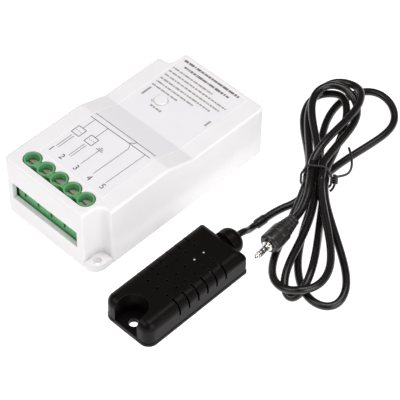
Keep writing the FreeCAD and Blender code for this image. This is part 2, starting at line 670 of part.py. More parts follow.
def terminal_contacts():
    bars = piece("terminal_contacts")
    for number in TERMINALS:
        x = terminal_x(number)
        across = (f"{x} - contact_width / 2", f"{x} + contact_width / 2")
        foot = "terminal_y + clamp_depth / 2 + 2 * slide_clearance"
        box(bars, across, ("terminal_y - clamp_depth / 2", f"{foot} + contact_thickness"),
            ("contact_bottom", "contact_top"))
        box(bars, across, (foot, f"{foot} + contact_thickness"), ("board_top", "contact_top"))


def reset_button():
    button = piece("reset_button")
    rod(button, ("button_x", "button_y", "flange_top - flange_thickness"), "button_flange",
            "flange_thickness")
    rod(button, ("button_x", "button_y", "flange_top - flange_thickness"), "button_radius",
        "rear_height + button_proud - flange_top + flange_thickness")
    top = value["rear_height"] + value["button_proud"]
    soften(button, "button_gap * 2", lambda edge, middle, way: near(middle.z, top))
    foot = "board_top + plunger_top + touch_gap"
    rod(button, ("button_x", "button_y", foot), "stem_radius", f"flange_top - ({foot})")


def push_switch():
    body = piece("push_switch_body")
    box(body, ("button_x - key_size / 2", "button_x + key_size / 2"),
        ("button_y - key_size / 2", "button_y + key_size / 2"), ("board_top", "board_top + key_height"))
    sink = "board_top + key_height - plunger_sink"
    cut_rod(body, ("button_x", "button_y", f"{sink} - button_travel - plunger_gap"),
            "plunger_radius + plunger_gap",
            "key_height")
    plunger = piece("push_switch_plunger")
    rod(plunger, ("button_x", "button_y", sink), "plunger_radius", f"board_top + plunger_top - ({sink})")


def relay():
    side = ("relay_x", "relay_x + relay_width")
    along = ("relay_y", "relay_y + relay_length")
    base = piece("relay_base")
    box(base, side, along, ("board_top", "relay_inside"))
    case = piece("relay_case")
    box(case, side, along, ("relay_inside", "board_top + relay_height"))
    cut_box(case, ("relay_x + relay_wall", "relay_x + relay_width - relay_wall"),
            ("relay_y + relay_wall", "relay_y + relay_length - relay_wall"),
            ("board_top", "board_top + relay_height - relay_wall"))
    iron = ("relay_middle - iron_width / 2", "relay_middle + iron_width / 2")
    yoke = piece("relay_yoke")
    box(yoke, iron, ("yoke_back", "coil_back"), ("relay_inside", "coil_axis + coil_radius"))
    box(yoke, iron, ("yoke_back", "core_end"), ("relay_inside", "relay_inside + iron_thickness"))
    rod(yoke, ("relay_middle", "yoke_back", "coil_axis"), "core_radius", "core_end - (yoke_back)", "y")
    coil = piece("relay_coil")
    rod(coil, ("relay_middle", "coil_back", "coil_axis"), "coil_radius", "coil_length", "y")
    for start in ("coil_back", "coil_back + coil_length - coil_flange_thickness"):
        rod(coil, ("relay_middle", start, "coil_axis"), "coil_flange", "coil_flange_thickness", "y")
    cut_rod(coil, ("relay_middle", "coil_back - wall", "coil_axis"), "core_radius + slide_clearance",
            "coil_length + 2 * wall", "y")
    armature = piece("relay_armature")
    box(armature, ("relay_middle - armature_width / 2", "relay_middle + armature_width / 2"),
        ("armature_face", "armature_face + iron_thickness"),
        ("relay_inside + slide_clearance", "relay_inside + slide_clearance + armature_height"))
    blade_face = "armature_face + iron_thickness"
    rivet_z = "relay_inside + armature_height + 2.5 * rivet_radius"
    strip_half = "(rivet_radius + slide_clearance)"
    blade = piece("relay_contact_blade")
    box(blade, ("relay_middle - blade_width / 2", "relay_middle + blade_width / 2"),
        (blade_face, f"{blade_face} + blade_thickness"),
        ("relay_inside + armature_height / 3", f"{rivet_z} + {strip_half}"))
    rod(blade, ("relay_middle", blade_face, rivet_z), "rivet_radius", "rivet_height", "-y")
    fixed = piece("relay_fixed_contact")
    fixed_face = f"{blade_face} - rivet_height - rivet_gap"
    strip = (f"{fixed_face} - rivet_height - 2 * blade_thickness", f"{fixed_face} - rivet_height")
    box(fixed, ("relay_middle - blade_width / 2", "relay_x + relay_width - relay_wall - slide_clearance"),
            strip,
        (f"{rivet_z} - {strip_half}", f"{rivet_z} + {strip_half}"))
    leg = "relay_x + relay_width - relay_wall - slide_clearance"
    rod(fixed, ("relay_middle", strip[1], rivet_z), "rivet_radius", "rivet_height", "y")
    box(fixed, (f"{leg} - 2 * blade_thickness", leg), (strip[0], "core_end"),
        (f"{rivet_z} - {strip_half}", f"{rivet_z} + {strip_half}"))
    box(fixed, (f"{leg} - 2 * blade_thickness", leg), ("core_end", "core_end + blade_width"),
        ("relay_inside", f"{rivet_z} + {strip_half}"))


def block_on_board(label, x, y, height):
    """A boxed part that stands on the main board."""
    body = piece(label)
    box(body, x, y, ("board_top", f"board_top + {height}"))
    return body


def fuse():
    body = piece("fuse")
    start, end = "fuse_front", "fuse_front + fuse_length"
    at = ("fuse_x", start, "board_top + fuse_radius + fuse_cap_wall")
    rod(body, at, "fuse_radius", "fuse_length", "y")
    for foot in (start, f"{end} - fuse_cap"):
        rod(body, ("fuse_x", foot, at[2]), "fuse_radius + fuse_cap_wall", "fuse_cap", "y")
        box(body, ("fuse_x - fuse_radius / 2", "fuse_x + fuse_radius / 2"), (foot, f"{foot} + fuse_cap"),
            ("board_top", f"board_top + fuse_radius"))


def varistor():
    body = piece("varistor")
    rod(body, ("varistor_x - disc_thickness / 2", "varistor_y", "board_top + disc_radius"), "disc_radius",
        "disc_thickness", "x")


def safety_capacitor():
    block_on_board("safety_capacitor", ("safety_x", "safety_x + safety_width"),
                   ("safety_y", "safety_y + safety_length"), "safety_height")


def transformer():
    across = ("transformer_x", "transformer_x + transformer_width")
    along = ("transformer_y", "transformer_y + transformer_length")
    bars = ("transformer_y + core_bar", "transformer_y + transformer_length - core_bar")
    core = block_on_board("transformer_core", across, along, "transformer_height")
    window = ("board_top + core_bar", "board_top + transformer_height - core_bar")
    middle = ("transformer_x + transformer_width / 2 - core_bar / 2",
              "transformer_x + transformer_width / 2 + core_bar / 2")
    for sides in ((f"{across[0]} + core_bar", middle[0]), (middle[1], f"{across[1]} - core_bar")):
        cut_box(core, sides, (f"{along[0]} - wall", f"{along[1]} + wall"), window)
    for sides in ((f"{along[0]} - wall", bars[0]), (bars[1], f"{along[1]} + wall")):
        cut_box(core, (f"{across[0]} - wall", f"{across[1]} + wall"), sides, (window[1], "front_height"))
    winding = piece("transformer_winding")
    box(winding, (f"{across[0]} + core_bar + slide_clearance", f"{across[1]} - core_bar - slide_clearance"),
        along, (f"{window[0]} + slide_clearance", f"{window[1]} - slide_clearance"))
    cut_box(winding, (f"{middle[0]} - slide_clearance", f"{middle[1]} + slide_clearance"),
            (f"{along[0]} - wall", f"{along[1]} + wall"), (window[0], window[1]))


def electrolytic_capacitors():
    cans = piece("electrolytic_capacitors")
    for x in ("cans_x", "cans_x + 2 * can_radius + slide_clearance"):
        rod(cans, (x, "cans_y", "board_top"), "can_radius", "can_height")


def radio():
    block_on_board("radio_board", ("radio_x", "radio_x + radio_width"),
                   ("radio_y", "radio_y + radio_length"), "radio_thickness")
    can = piece("radio_shield")
    across = ("radio_x + shield_margin", "radio_x + radio_width - shield_margin")
    along = ("radio_y + shield_margin", "radio_y + radio_length - 4 * shield_margin")
    box(can, across, along, ("board_top + radio_thickness", "board_top + radio_thickness + shield_height"))
    cut_box(can, (f"{across[0]} + shield_wall", f"{across[1]} - shield_wall"),
            (f"{along[0]} + shield_wall", f"{along[1]} - shield_wall"),
            ("board_top", "board_top + radio_thickness + shield_height - shield_wall"))


def signal_lamps():
    lamps = piece("signal_lamps")
    for along in ("button_y - 2 * led_radius", "button_y + 2 * led_radius"):
        rod(lamps, ("lamps_x", along, "board_top"), "led_radius", "led_height")


def jack():
    socket = piece("jack_socket")
    end = "inner_rear - slide_clearance"
    across = ("-jack_width / 2", "jack_width / 2")
    box(socket, across, (f"{end} - jack_length", end), ("board_top", "board_top + jack_height"))
    rod(socket, (0, end, "jack_axis"), "jack_nose", "wall + slide_clearance", "y")
    cut_rod(socket, (0, "rear - jack_depth", "jack_axis"), "jack_radius + jack_clearance",
            "jack_depth + wall", "y")
    springs = piece("jack_springs")
    for place in (0.2, 0.4, 0.6, 0.8):
        along = f"{end} - jack_length * {place}"
        for side in (-1, 1):
            foot = f"{side} * (jack_width / 2 + spring_thickness / 2)"
            box(springs, (f"{foot} - spring_thickness / 2", f"{foot} + spring_thickness / 2"),
                (f"{along} - spring_width / 2", f"{along} + spring_width / 2"), ("board_top", "jack_axis"))


def probe_cover():
    cover = piece("probe_cover")
    box(cover, ("probe_left", "probe_right"), ("probe_front", "probe_rear"), ("probe_base", "probe_height"))
    left = value["probe_across"] - value["probe_width"] / 2
    right = value["probe_across"] + value["probe_width"] / 2
    start, end = value["probe_front"], value["probe_front"] + value["probe_length"]
    soften(cover, "probe_corner", upright((left, start), (right, start)))
    soften(cover, "probe_rear_corner", upright((left, end), (right, end)))
    top = value["probe_height"]
    soften(cover, "probe_round", lambda edge, middle, way: near(middle.z, top) and (
        middle.y < end - value["probe_rear_corner"]))
    wall = "probe_wall"
    cut_box(cover, (f"probe_left + {wall}", f"probe_right - {wall}"),
            ("probe_hole_y + arch_radius + probe_wall", f"probe_rear - {wall}"),
            ("-wall", f"probe_height - {wall}"))
    soften(cover, "probe_inner_round", lambda edge, middle, way: near(abs(way.y), 1) and near(
        middle.z, value["probe_height"] - value["probe_wall"]))
    cut_rod(cover, ("probe_across", "probe_hole_y", "-wall"), "arch_radius", "probe_height + 2 * wall")
    cut_box(cover, ("probe_across - arch_radius", "probe_across + arch_radius"),
            ("probe_front - wall", "probe_hole_y"), ("-wall", "probe_height + wall"))
    for place in range(6):
        along = f"vent_y - {place} * vent_pitch"
        for side in (-1, 1):
            edges = sorted((side * value["slit_inner"], side * value["probe_width"]))
            cut_box(cover, (f"probe_across + {edges[0]}", f"probe_across + {edges[1]}"),
                    (f"{along} - slit_width / 2", f"{along} + slit_width / 2"),
                    ("slit_bottom", "front_height"))
        for row in (-1, 0, 1):
            cut_rod(cover, (f"probe_across + {row} * vent_row", along, "probe_board_height"), "vent_radius",
                    "probe_height")
    cut_rod(cover, ("probe_across", "probe_rear - 2 * probe_wall", "gland_height"), "gland_neck + seam",
            "probe_wall * 3", "y")


def probe_base():
    base = piece("probe_base")
    lip = "probe_lip"
    box(base, (f"probe_left - {lip}", f"probe_right + {lip}"),
            (f"probe_front - {lip}", f"probe_rear + {lip}"),
        (0, "probe_base"))
    left = value["probe_across"] - value["probe_width"] / 2 - value["probe_lip"]
    right = value["probe_across"] + value["probe_width"] / 2 + value["probe_lip"]
    start = value["probe_front"] - value["probe_lip"]
    end = value["probe_front"] + value["probe_length"] + value["probe_lip"]
    soften(base, f"probe_corner + {lip}", upright((left, start), (right, start)))
    soften(base, "probe_rear_corner", upright((left, end), (right, end)))
    rod(base, ("probe_across", "probe_hole_y", "probe_base / 2"), "arch_radius - seam",
            "arch_floor - probe_base / 2")
    box(base, ("probe_across - arch_radius + seam", "probe_across + arch_radius - seam"),
        (f"probe_front - {lip}", "probe_hole_y"), ("probe_base / 2", "arch_floor"))
    cut_box(base, (f"probe_left - {lip}", f"probe_right + {lip}"),
            ("probe_front - probe_width", f"probe_front - {lip}"),
            ("-wall", "arch_floor + wall"))
    cut_rod(base, ("probe_across", "probe_hole_y", "-wall"), "probe_hole_radius", "arch_floor + 2 * wall")
    for side in (-1, 1):
        for along in ("probe_board_y + probe_post_inset",
                      "probe_board_y + probe_board_length - probe_post_inset"):
            rod(base, (f"probe_across + {side} * (probe_board_width / 2 - post_radius)", along,
                    "probe_base / 2"),
                "post_radius", "probe_board_height - probe_base / 2")


def probe_inside():
    board = piece("probe_board")
    box(board, ("probe_across - probe_board_width / 2", "probe_across + probe_board_width / 2"),
        ("probe_board_y", "probe_board_y + probe_board_length"),
        ("probe_board_height", "probe_board_height + probe_board_thickness"))
    sensor = piece("probe_sensor")
    box(sensor, ("sensor_x", "sensor_x + sensor_width"), ("sensor_y", "sensor_y + sensor_length"),
        ("probe_board_height + probe_board_thickness", "probe_height - probe_wall - sensor_gap"))


def probe_gland():
    gland = piece("probe_gland")
    rod(gland, ("probe_across", "gland_start", "gland_height"), "gland_radius", "gland_length", "y")
    root = value["probe_front"] + value["probe_length"] + value["probe_lip"] + value["seam"]
    end = root + value["gland_length"]
    soften(gland, "gland_round", lambda edge, middle, way: near(middle.y, end))
    rod(gland, ("probe_across", "probe_rear - probe_wall", "gland_height"), "gland_neck",
        "probe_wall + probe_lip + gland_length / 2", "y")


def plug():
    grip = piece("plug_grip")
    rod(grip, (0, 0, 0), "grip_radius", "grip_length", "y")
    soften(grip, "grip_round", lambda edge, middle, way: near(middle.y, 0) or near(
        middle.y, value["grip_length"]))
    step = "(relief_length / rib_count)"
    slope = "((relief_wide - relief_narrow) / rib_count)"
    rod(grip, (0, "grip_length / 2", 0), "relief_narrow", "grip_length / 2 + relief_length", "y")
    for rib in range(int(value["rib_count"])):
        cone(grip, (0, f"grip_length + {rib} * {step} + rib_gap", 0), f"relief_wide - {rib} * {slope}",
             f"relief_wide - {rib + 0.9} * {slope}", f"{step} - rib_gap", "y")
    cut_rod(grip, (0, "-wall", 0), "jack_radius + screw_clearance", "wall + plug_root", "y")
    poles = piece("plug_poles")
    rings = piece("plug_rings")
    end = "(-collar_length - shaft_length)"
    rod(poles, (0, "-collar_length", 0), "collar_radius", "collar_length", "y")
    cone(poles, (0, end, 0), "tip_radius", "jack_radius", "tip_length * tip_share", "y")
    rod(poles, (0, f"{end} + tip_length * tip_share", 0), "jack_radius", "tip_length * (1 - tip_share)", "y")
    for place in range(3):
        ring = f"{end} + tip_length + {place} * (pole_length + ring_gap)"
        rod(rings, (0, ring, 0), "jack_radius", "ring_gap", "y")
        length = "pole_length" if place < 2 else f"plug_root - slide_clearance - ({ring} + ring_gap)"
        rod(poles, (0, f"{ring} + ring_gap", 0), "jack_radius", length, "y")
    for body in (grip, poles, rings):
        body.Placement = Placement(Vector(), Rotation(Vector(0, 0, 1), 1))
        bind(body, Placement__Base__x="plug_across", Placement__Base__y="plug_front",
             Placement__Base__z="plug_height", Placement__Rotation__Angle="plug_turn")


# The cord. The points of its free stretches, and its loops, follow the photograph.
WAIST = Vector(value["waist_across"], value["waist_along"], 0)
BEND_SHARE = 0.45
LEAD_POINTS = [(53.5, 4.4, 5.95), (53.4, 6.8, 5.1), (52.8, 9.7, 2.75)]
RUN_POINTS = [(54.1, 29.0, 1.95), (55.3, 32.4, 1.95), (56.0, 36.7, 2.4)]
PLUG_LEAD_POINTS = [(62.8, 31.0, 8.9), (60.6, 35.6, 9.8)]
# Runs in line with what they meet: before and after the sleeve, off the plug, into the tied strands
SLEEVE_RUNS = (2.5, 4.6)
PLUG_RUN = 3.9
STRAND_RUN = 4.3
TAIL_POINTS = [(63.2, 54.6, 7.8), (64.0, 57.2, 8.8), (62.3, 60.2, 9.6), (58.8, 63.6, 9.7), (55.1, 66.4, 9.2)]
SHORT_TAIL_POINTS = [(61.9, 50.4, 2.6), (61.0, 49.0, 1.3)]
# Tied strands in the order in which the cord passes them: layer from below, column from the left
STRANDS = [(0, -1), (1, 1), (0, 0), (0, 1), (1, 0), (2, 0.6), (1, -1), (2, -0.6)]
# Loops between them: heading of the far end, reach from the tie, width, bow, skew, how
# narrow the foot is, and the heights of evenly spaced places on the way round
LOOPS = [
    (129.2, 50.4, 16.3, 1.7, 4.0, 1, (1.7, 1.7, 3.1, 6.9, 6.1)),
    (-42.7, 63.4, 17.7, 0.6, 0.0, 1, (5.7, 4.0, 2.1, 1.7, 1.7)),
    (100.6, 57.0, 25.0, 3.7, -3.8, 1, (3.7, 1.7, 4.7, 2.9, 1.7)),
    (-57.8, 60.2, 9.0, 0.9, -4.0, 2, (1.7, 8.1, 2.1, 5.3, 5.9)),
    (122.7, 48.6, 18.8, 2.7, 0.9, 1, (8.2, 9.9, 11.1, 8.1, 10.2)),
    (-53.9, 60.9, 21.5, -1.2, 2.4, 1, (9.9, 9.0, 7.8, 7.4, 7.9, 8.3, 5.9, 3.2, 1.9, 4.0, 7.2)),
    (119.8, 53.2, 20.3, 2.0, 0.4, 1, (5.7, 5.6, 9.0, 11.9, 13.6)),
]
# Greatest value of sin(turn) sin(turn / 2)^(2 fullness), which a loop's width is measured by
BULGE = {1: 0.6495, 2: 0.5175}
LOOP_NODES = 12
TINY = 0.001


def bend(before, corner, after):
    """Both ends, the middle and the radius of the tangent arc at a corner of a route."""
    into, out = corner - before, after - corner
    reach = BEND_SHARE * min(into.Length, out.Length)
    turn = into.getAngle(out)
    into.normalize()
    out.normalize()
    radius = reach / math.tan(turn / 2)
    inward = (out - into).normalize()
    middle = corner + inward * (radius / math.cos(turn / 2) - radius)
    return corner - into * reach, middle, corner + out * reach, radius


def route(points):
    """Straight runs joined by tangent arcs, and the arcs' radii."""
    edges, radii = [], []
    start = points[0]
    for before, corner, after in zip(points, points[1:], points[2:]):
        entry, middle, leave, radius = bend(before, corner, after)
        edges.append(Part.LineSegment(start, entry).toShape())
        edges.append(Part.Arc(entry, middle, leave).toShape())
        radii.append(radius)
        start = leave
    edges.append(Part.LineSegment(start, points[-1]).toShape())
    return Part.Wire(edges), radii


def tube(path, way, radius):
    """A round solid along a path that sets out in the given direction."""
    ring = Part.Wire(Part.Circle(path.Vertexes[0].Point, way, radius).toShape())
    return path.makePipeShell([ring], True, False)


def solid(label, shape):
    part = doc.addObject("Part::Feature", label)
    part.Label = label
    part.Shape = shape
    part.Placement = Placement()


def swept(label, path, way, radius):
    """A tube of the cord, and how its volume compares with its section times its length."""
    shape = tube(path, way, radius)
    share = shape.Volume / (math.pi * radius ** 2 * path.Length)
    print(f"{label}: {path.Length:.1f} mm long, volume {share:.4f} of section times length")
    solid(label, shape)


def stretch(label, points, radius):
    """A free stretch of the cord along a route."""
    path, radii = route(points)
    swept(label, path, points[1] - points[0], radius)
    print(f"{label}: bend radii", [round(r, 1) for r in radii])


def vectors(points):
    return [Vector(*point) for point in points]


def heading(degrees):
    return Vector(math.cos(math.radians(degrees)), math.sin(math.radians(degrees)), 0)


def rightward(degrees):
    """The direction to the right of a heading."""
    return heading(degrees - 90)


def strand(number, back=0):
    """A place on a tied strand, so far before or beyond the tie's middle."""
    layer, column = STRANDS[number]
    pitch = 2 * value["cord_radius"] + value["cord_clearance"]
    height = value["waist_height"] + value["cord_radius"] + layer * pitch
    turn = value["waist_turn"]
    return WAIST + heading(turn) * back + rightward(turn) * column * pitch + Vector(0, 0, height)


def loop_point(number, share):
    """A point of a loop, by its share of the way round from one tied strand to the next."""
    toward, reach, width, bow, skew, fullness, heights = LOOPS[number]
    way = 1 if number % 2 == 0 else -1
    base = value["waist_turn"] + (0 if way > 0 else -180)
    turn = 2 * math.pi * share
    far = (1 - math.cos(turn)) / 2
    swing = width * math.sin(turn) * math.sin(turn / 2) ** (2 * fullness) / (2 * BULGE[fullness])
    along = (reach - value["waist_half"]) * far - skew * math.sin(turn) * far
    side = 4 * bow * far * (1 - far) - way * swing
    faced = base + ((toward - base + 180) % 360 - 180) * far
    first, last = (strand(n, way * value["waist_half"]) for n in (number, number + 1))
    blend = share - math.sin(turn) / (2 * math.pi)
    middle = WAIST + heading(base) * value["waist_half"]
    foot = middle + (first + (last - first) * blend - middle) * (1 - far)
    knots = (first.z, *heights, last.z)
    span = min(int(share * (len(knots) - 1)), len(knots) - 2)
    ease = (1 - math.cos(math.pi * (share * (len(knots) - 1) - span))) / 2
    point = foot + heading(faced) * along + rightward(faced) * way * side
    return Vector(point.x, point.y, knots[span] + ease * (knots[span + 1] - knots[span]))


def arc(foot, along, tip):
    """The arc that leaves a foot in a direction and ends at a tip."""
    chord = tip - foot
    turn = along.getAngle(chord)
    inward = (chord - along * chord.dot(along)).normalize()
    radius = chord.Length / (2 * math.sin(turn))
    middle = foot + along * radius * math.sin(turn) + inward * radius * (1 - math.cos(turn))
    return Part.Arc(foot, middle, tip).toShape()


def biarc(start, way, end, way_out):
    """Two arcs that meet smoothly, from one place and direction to another."""
    gap = end - start
    square = 2 * (way.dot(way_out) - 1)
    slope = -2 * gap.dot(way + way_out)
    # The positive root of square d^2 + slope d + gap.gap = 0, also where the two ways are parallel
    reach = 2 * gap.dot(gap) / (-slope + math.sqrt(slope ** 2 - 4 * square * gap.dot(gap)))
    joint = (start + end + (way - way_out) * reach) / 2
    middle_way = (end - way_out * reach - start - way * reach).normalize()
    return arc(start, way, joint), arc(joint, middle_way, end)


def loop_edges(number):
    """A loop on biarcs, through places evenly spaced on the way round."""
    base = heading(value["waist_turn"] + (0 if number % 2 == 0 else -180))
    knots = [(loop_point(number, 0), base)]
    for step in range(1, LOOP_NODES):
        share = step / LOOP_NODES
        way = loop_point(number, share + TINY) - loop_point(number, share - TINY)
        knots.append((loop_point(number, share), way.normalize()))
    knots.append((loop_point(number, 1), base * -1))
    return [edge for (start, way), (end, way_out) in zip(knots, knots[1:])
            for edge in biarc(start, way, end, way_out)]


def least_gap(points, spacing, radius):
    """The nearest that a swept path's round solid comes to itself, measured on points of the path."""
    clear = int(2 * math.pi * radius / spacing) + 1
    return min(points[i].distanceToPoint(points[j])
               for i in range(len(points)) for j in range(i + clear, len(points))) - 2 * radius


def on_sleeve(along):
    """A place on the sleeve's line, so far from where the sleeve starts."""
    start = Vector(value["sleeve_across"], value["sleeve_along"], value["sleeve_radius"])
    return start + heading(value["sleeve_turn"]) * along


def sensor_lead():
    gland_end = Vector(value["probe_across"], value["probe_front"] + value["probe_length"] + (
        value["probe_lip"] + value["seam"] + value["gland_length"]), value["probe_height"] / 2)
    stretch("sensor_lead", [gland_end, *vectors(LEAD_POINTS), on_sleeve(-SLEEVE_RUNS[0]), on_sleeve(0)],
            value["lead_radius"])


def lead_sleeve():
    length = value["sleeve_length"]
    solid("lead_sleeve", Part.makeCylinder(
        value["sleeve_radius"], length, on_sleeve(0), heading(value["sleeve_turn"])))


def cord_run():
    start, join = value["sleeve_length"], value["join_back"]
    stretch("cord_run", [on_sleeve(start), on_sleeve(start + SLEEVE_RUNS[1]), *vectors(RUN_POINTS),
                         strand(0, -join - STRAND_RUN), strand(0, -join)], value["cord_radius"])


def cord_hank():
    """The tied cord, one tube: each strand straight through the tie, each loop on biarcs."""
    half, radius = value["waist_half"], value["cord_radius"]
    edges = []
    for number in range(len(STRANDS)):
        way = 1 if number % 2 == 0 else -1
        start = -value["join_back"] if number == 0 else -way * half
        edges.append(Part.LineSegment(strand(number, start), strand(number, way * half)).toShape())
        if number < len(LOOPS):
            edges.extend(loop_edges(number))
    path = Part.Wire(edges)
    swept("cord_hank", path, heading(value["waist_turn"]), radius)
    points = path.discretize(int(path.Length))
    gap = least_gap(points, path.Length / (len(points) - 1), radius)
    lowest = min(point.z for point in points) - radius
    print(f"cord_hank: least gap to itself {gap:.2f} mm, lowest at {lowest:.2f} mm")


def plug_lead():
    grip = Vector(value["plug_across"], value["plug_front"], value["plug_height"])
    away = heading(90 + value["plug_turn"])
    relief_end = grip + away * (value["grip_length"] + value["relief_length"])
    last, half = len(STRANDS) - 1, value["waist_half"]
    stretch("plug_lead", [relief_end, relief_end + away * PLUG_RUN, *vectors(PLUG_LEAD_POINTS),
                          strand(last, -half - STRAND_RUN), strand(last, -half)], value["cord_radius"])


def belt(centres, radius, along):
    """The outline of a band drawn tight round equal circles, which are given in their order round it."""
    edges = []
    for before, centre, after in zip(centres[-1:] + centres[:-1], centres, centres[1:] + centres[:1]):
        first = along.cross(centre - before).normalize() * radius
        last = along.cross(after - centre).normalize() * radius
        edges.append(Part.Arc(centre + first, centre + (first + last).normalize() * radius,
                centre + last).toShape())
        edges.append(Part.LineSegment(centre + last, after + last).toShape())
    return Part.Wire(edges)


def twist_tie():
    wire, gap = value["tie_radius"], value["tie_gap"] + value["cord_radius"]
    along = heading(value["waist_turn"])
    order = [(0, -1), (0, 1), (1, 1), (2, 0.6), (2, -0.6), (1, -1)]
    centres = [strand(STRANDS.index(place)) - along * wire for place in order]
    outer, inner = (Part.Face(belt(centres, radius, along)).extrude(along * 2 * wire)
                    for radius in (gap + 2 * wire, gap))
    pitch = 2 * value["cord_radius"] + value["cord_clearance"]
    side = max(column for layer, column in STRANDS) * pitch + gap
    foot = WAIST + rightward(value["waist_turn"]) * (side + 2 * wire + value["knot_radius"] * 0.8) + Vector(
        0, 0, value["knot_height"] - value["knot_length"] / 2)
    knot = Part.makeCylinder(value["knot_radius"], value["knot_length"], foot)
    top = foot + Vector(0, 0, value["knot_length"])
    shape = outer.cut(inner).fuse(knot)
    for points in ([top, *vectors(TAIL_POINTS)], [foot + Vector(0, 0, wire), *vectors(SHORT_TAIL_POINTS)]):
        path, radii = route(points)
        shape = shape.fuse(tube(path, points[1] - points[0], wire))
    solid("twist_tie", shape)


for make in (
        top_cover, base_plate, case_screws, board_screws, main_board, terminal_block, terminal_screws,
        clamp_cages, terminal_contacts, reset_button, push_switch, relay, fuse, varistor, safety_capacitor,
        transformer, electrolytic_capacitors, radio, signal_lamps, jack, probe_cover, probe_base,
        probe_inside, probe_gland, plug, sensor_lead, lead_sleeve, cord_run, cord_hank, plug_lead, twist_tie):
    make()
doc.recompute()


def sub_parts():
    return [thing for thing in doc.Objects if thing.TypeId == "PartDesign::Body" or (
        thing.TypeId == "Part::Feature")]


for thing in doc.Objects:
    if "Invalid" in thing.State or "Error" in thing.State:
        raise RuntimeError(f"{thing.Label} failed: {thing.State}")
os.makedirs("parts", exist_ok=True)
for thing in sub_parts():
    if thing.Shape.isNull() or not thing.Shape.isValid():
        raise RuntimeError(f"{thing.Label} has no sound shape")
    thing.Shape.exportStep(f"parts/{thing.Label}.step")
    bounds = thing.Shape.BoundBox
    print(f"{thing.Label}: {len(thing.Shape.Solids)} solids, {thing.Shape.Volume:.1f} mm3, "
          f"{bounds.XMin:.2f} {bounds.YMin:.2f} {bounds.ZMin:.2f} to "
          f"{bounds.XMax:.2f} {bounds.YMax:.2f} {bounds.ZMax:.2f}")
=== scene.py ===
# The looks of a smart switch module and its probe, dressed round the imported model.
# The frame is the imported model's own: +Y runs from the terminals to the jack. Lengths on the
# part are in millimetres until mm() or MM makes them metres. The studio's are in metres.
import math
import random

import bmesh
import bpy
from mathutils import Matrix, Quaternion, Vector
from mathutils.bvhtree import BVHTree
from mathutils.geometry import delaunay_2d_cdt


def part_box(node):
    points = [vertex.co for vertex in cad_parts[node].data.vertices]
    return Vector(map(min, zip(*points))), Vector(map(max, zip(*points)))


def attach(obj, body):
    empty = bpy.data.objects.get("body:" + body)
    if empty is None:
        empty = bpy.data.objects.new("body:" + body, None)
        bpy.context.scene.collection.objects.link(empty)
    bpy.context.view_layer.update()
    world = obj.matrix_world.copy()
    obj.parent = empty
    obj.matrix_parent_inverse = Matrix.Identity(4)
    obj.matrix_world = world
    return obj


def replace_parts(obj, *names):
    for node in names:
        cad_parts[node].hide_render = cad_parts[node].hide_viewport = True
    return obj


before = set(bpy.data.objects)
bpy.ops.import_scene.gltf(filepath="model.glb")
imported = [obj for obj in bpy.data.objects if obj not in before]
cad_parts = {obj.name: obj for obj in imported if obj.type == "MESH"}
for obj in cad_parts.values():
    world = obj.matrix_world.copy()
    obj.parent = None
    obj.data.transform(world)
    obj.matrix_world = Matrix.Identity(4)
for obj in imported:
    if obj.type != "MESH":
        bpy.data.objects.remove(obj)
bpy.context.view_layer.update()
MM = 0.001
STATIC = "housing"


def mm(*place):
    """A place given in millimetres."""
    return Vector(place) * MM


def heading(degrees):
    """A level direction, by its turn from +X."""
    return Vector((math.cos(math.radians(degrees)), math.sin(math.radians(degrees)), 0))


def rightward(degrees):
    """The direction to the right of a heading."""
    return heading(degrees - 90)


# Camera
CAMERA_PLACE = Vector((0.3906, -0.3704, 0.5891))
CAMERA_TARGET = Vector((0.0264, 0.0095, 0))
CAMERA_ROLL = math.radians(0.79)
CAMERA_LENS = 176.9
CAMERA_NEAR, CAMERA_FAR = 0.01, 20


def make_camera():
    data = bpy.data.cameras.new("camera")
    data.lens = CAMERA_LENS
    data.clip_start = CAMERA_NEAR
    data.clip_end = CAMERA_FAR
    camera = bpy.data.objects.new("camera", data)
    camera.location = CAMERA_PLACE
    camera.rotation_mode = "QUATERNION"
    aim = (CAMERA_TARGET - CAMERA_PLACE).to_track_quat("-Z", "Y")
    camera.rotation_quaternion = aim @ Quaternion((0, 0, 1), CAMERA_ROLL)
    bpy.context.scene.collection.objects.link(camera)
    bpy.context.scene.camera = camera


# Materials
# The part of a noise's range, or of an edge's turn, that is stretched to the whole effect
TONE_RANGE = (0.3, 0.7)
GRAIN_RANGE = (0.25, 0.75)
# Turn of an edge over which the painted edge highlight fades in
EDGE_HIGHLIGHT_RANGE = (0.985, 0.9)
# Least and greatest roughness on a surface, as shares of the one it is given
GLOSS_SHARES = (0.85, 1.2)
GRAIN_DETAIL, GRAIN_ROUGHNESS = 3.0, 0.6
PATCH_DETAIL = 4.0
BEVEL_SAMPLES = 4
# Grey painted onto edges as a painted highlight
EDGE_HIGHLIGHT_COLOUR = (0.42, 0.40, 0.40, 1)
COAT_ROUGHNESS = 0.12


def blank_material(name):
    """A new material and its empty node tree."""
    material = bpy.data.materials.new(name)
    material.use_nodes = True
    material.node_tree.nodes.clear()
    return material, material.node_tree


def add(tree, kind, settings=None, **inputs):
    """A new node, its settings, and its inputs: numbers, or sockets to link."""
    node = tree.nodes.new("ShaderNode" + kind)
    for name, setting in (settings or {}).items():
        setattr(node, name, setting)
    for name, given in inputs.items():
        socket = node.inputs[name.replace("_", " ")]
        if isinstance(given, bpy.types.NodeSocket):
            tree.links.new(given, socket)
        else:
            socket.default_value = given
    return node


def blend(tree, share, first, last):
    """A colour that goes from the first to the last with a share from 0 to 1."""
    ramp = add(tree, "ValToRGB", Fac=share)
    ramp.color_ramp.elements[0].color = (*first, 1)
    ramp.color_ramp.elements[1].color = (*last, 1)
    return ramp.outputs["Color"]


def shade(colour, by):
    """A colour made lighter or darker by a factor."""
    return tuple(min(1, part * by) for part in colour)


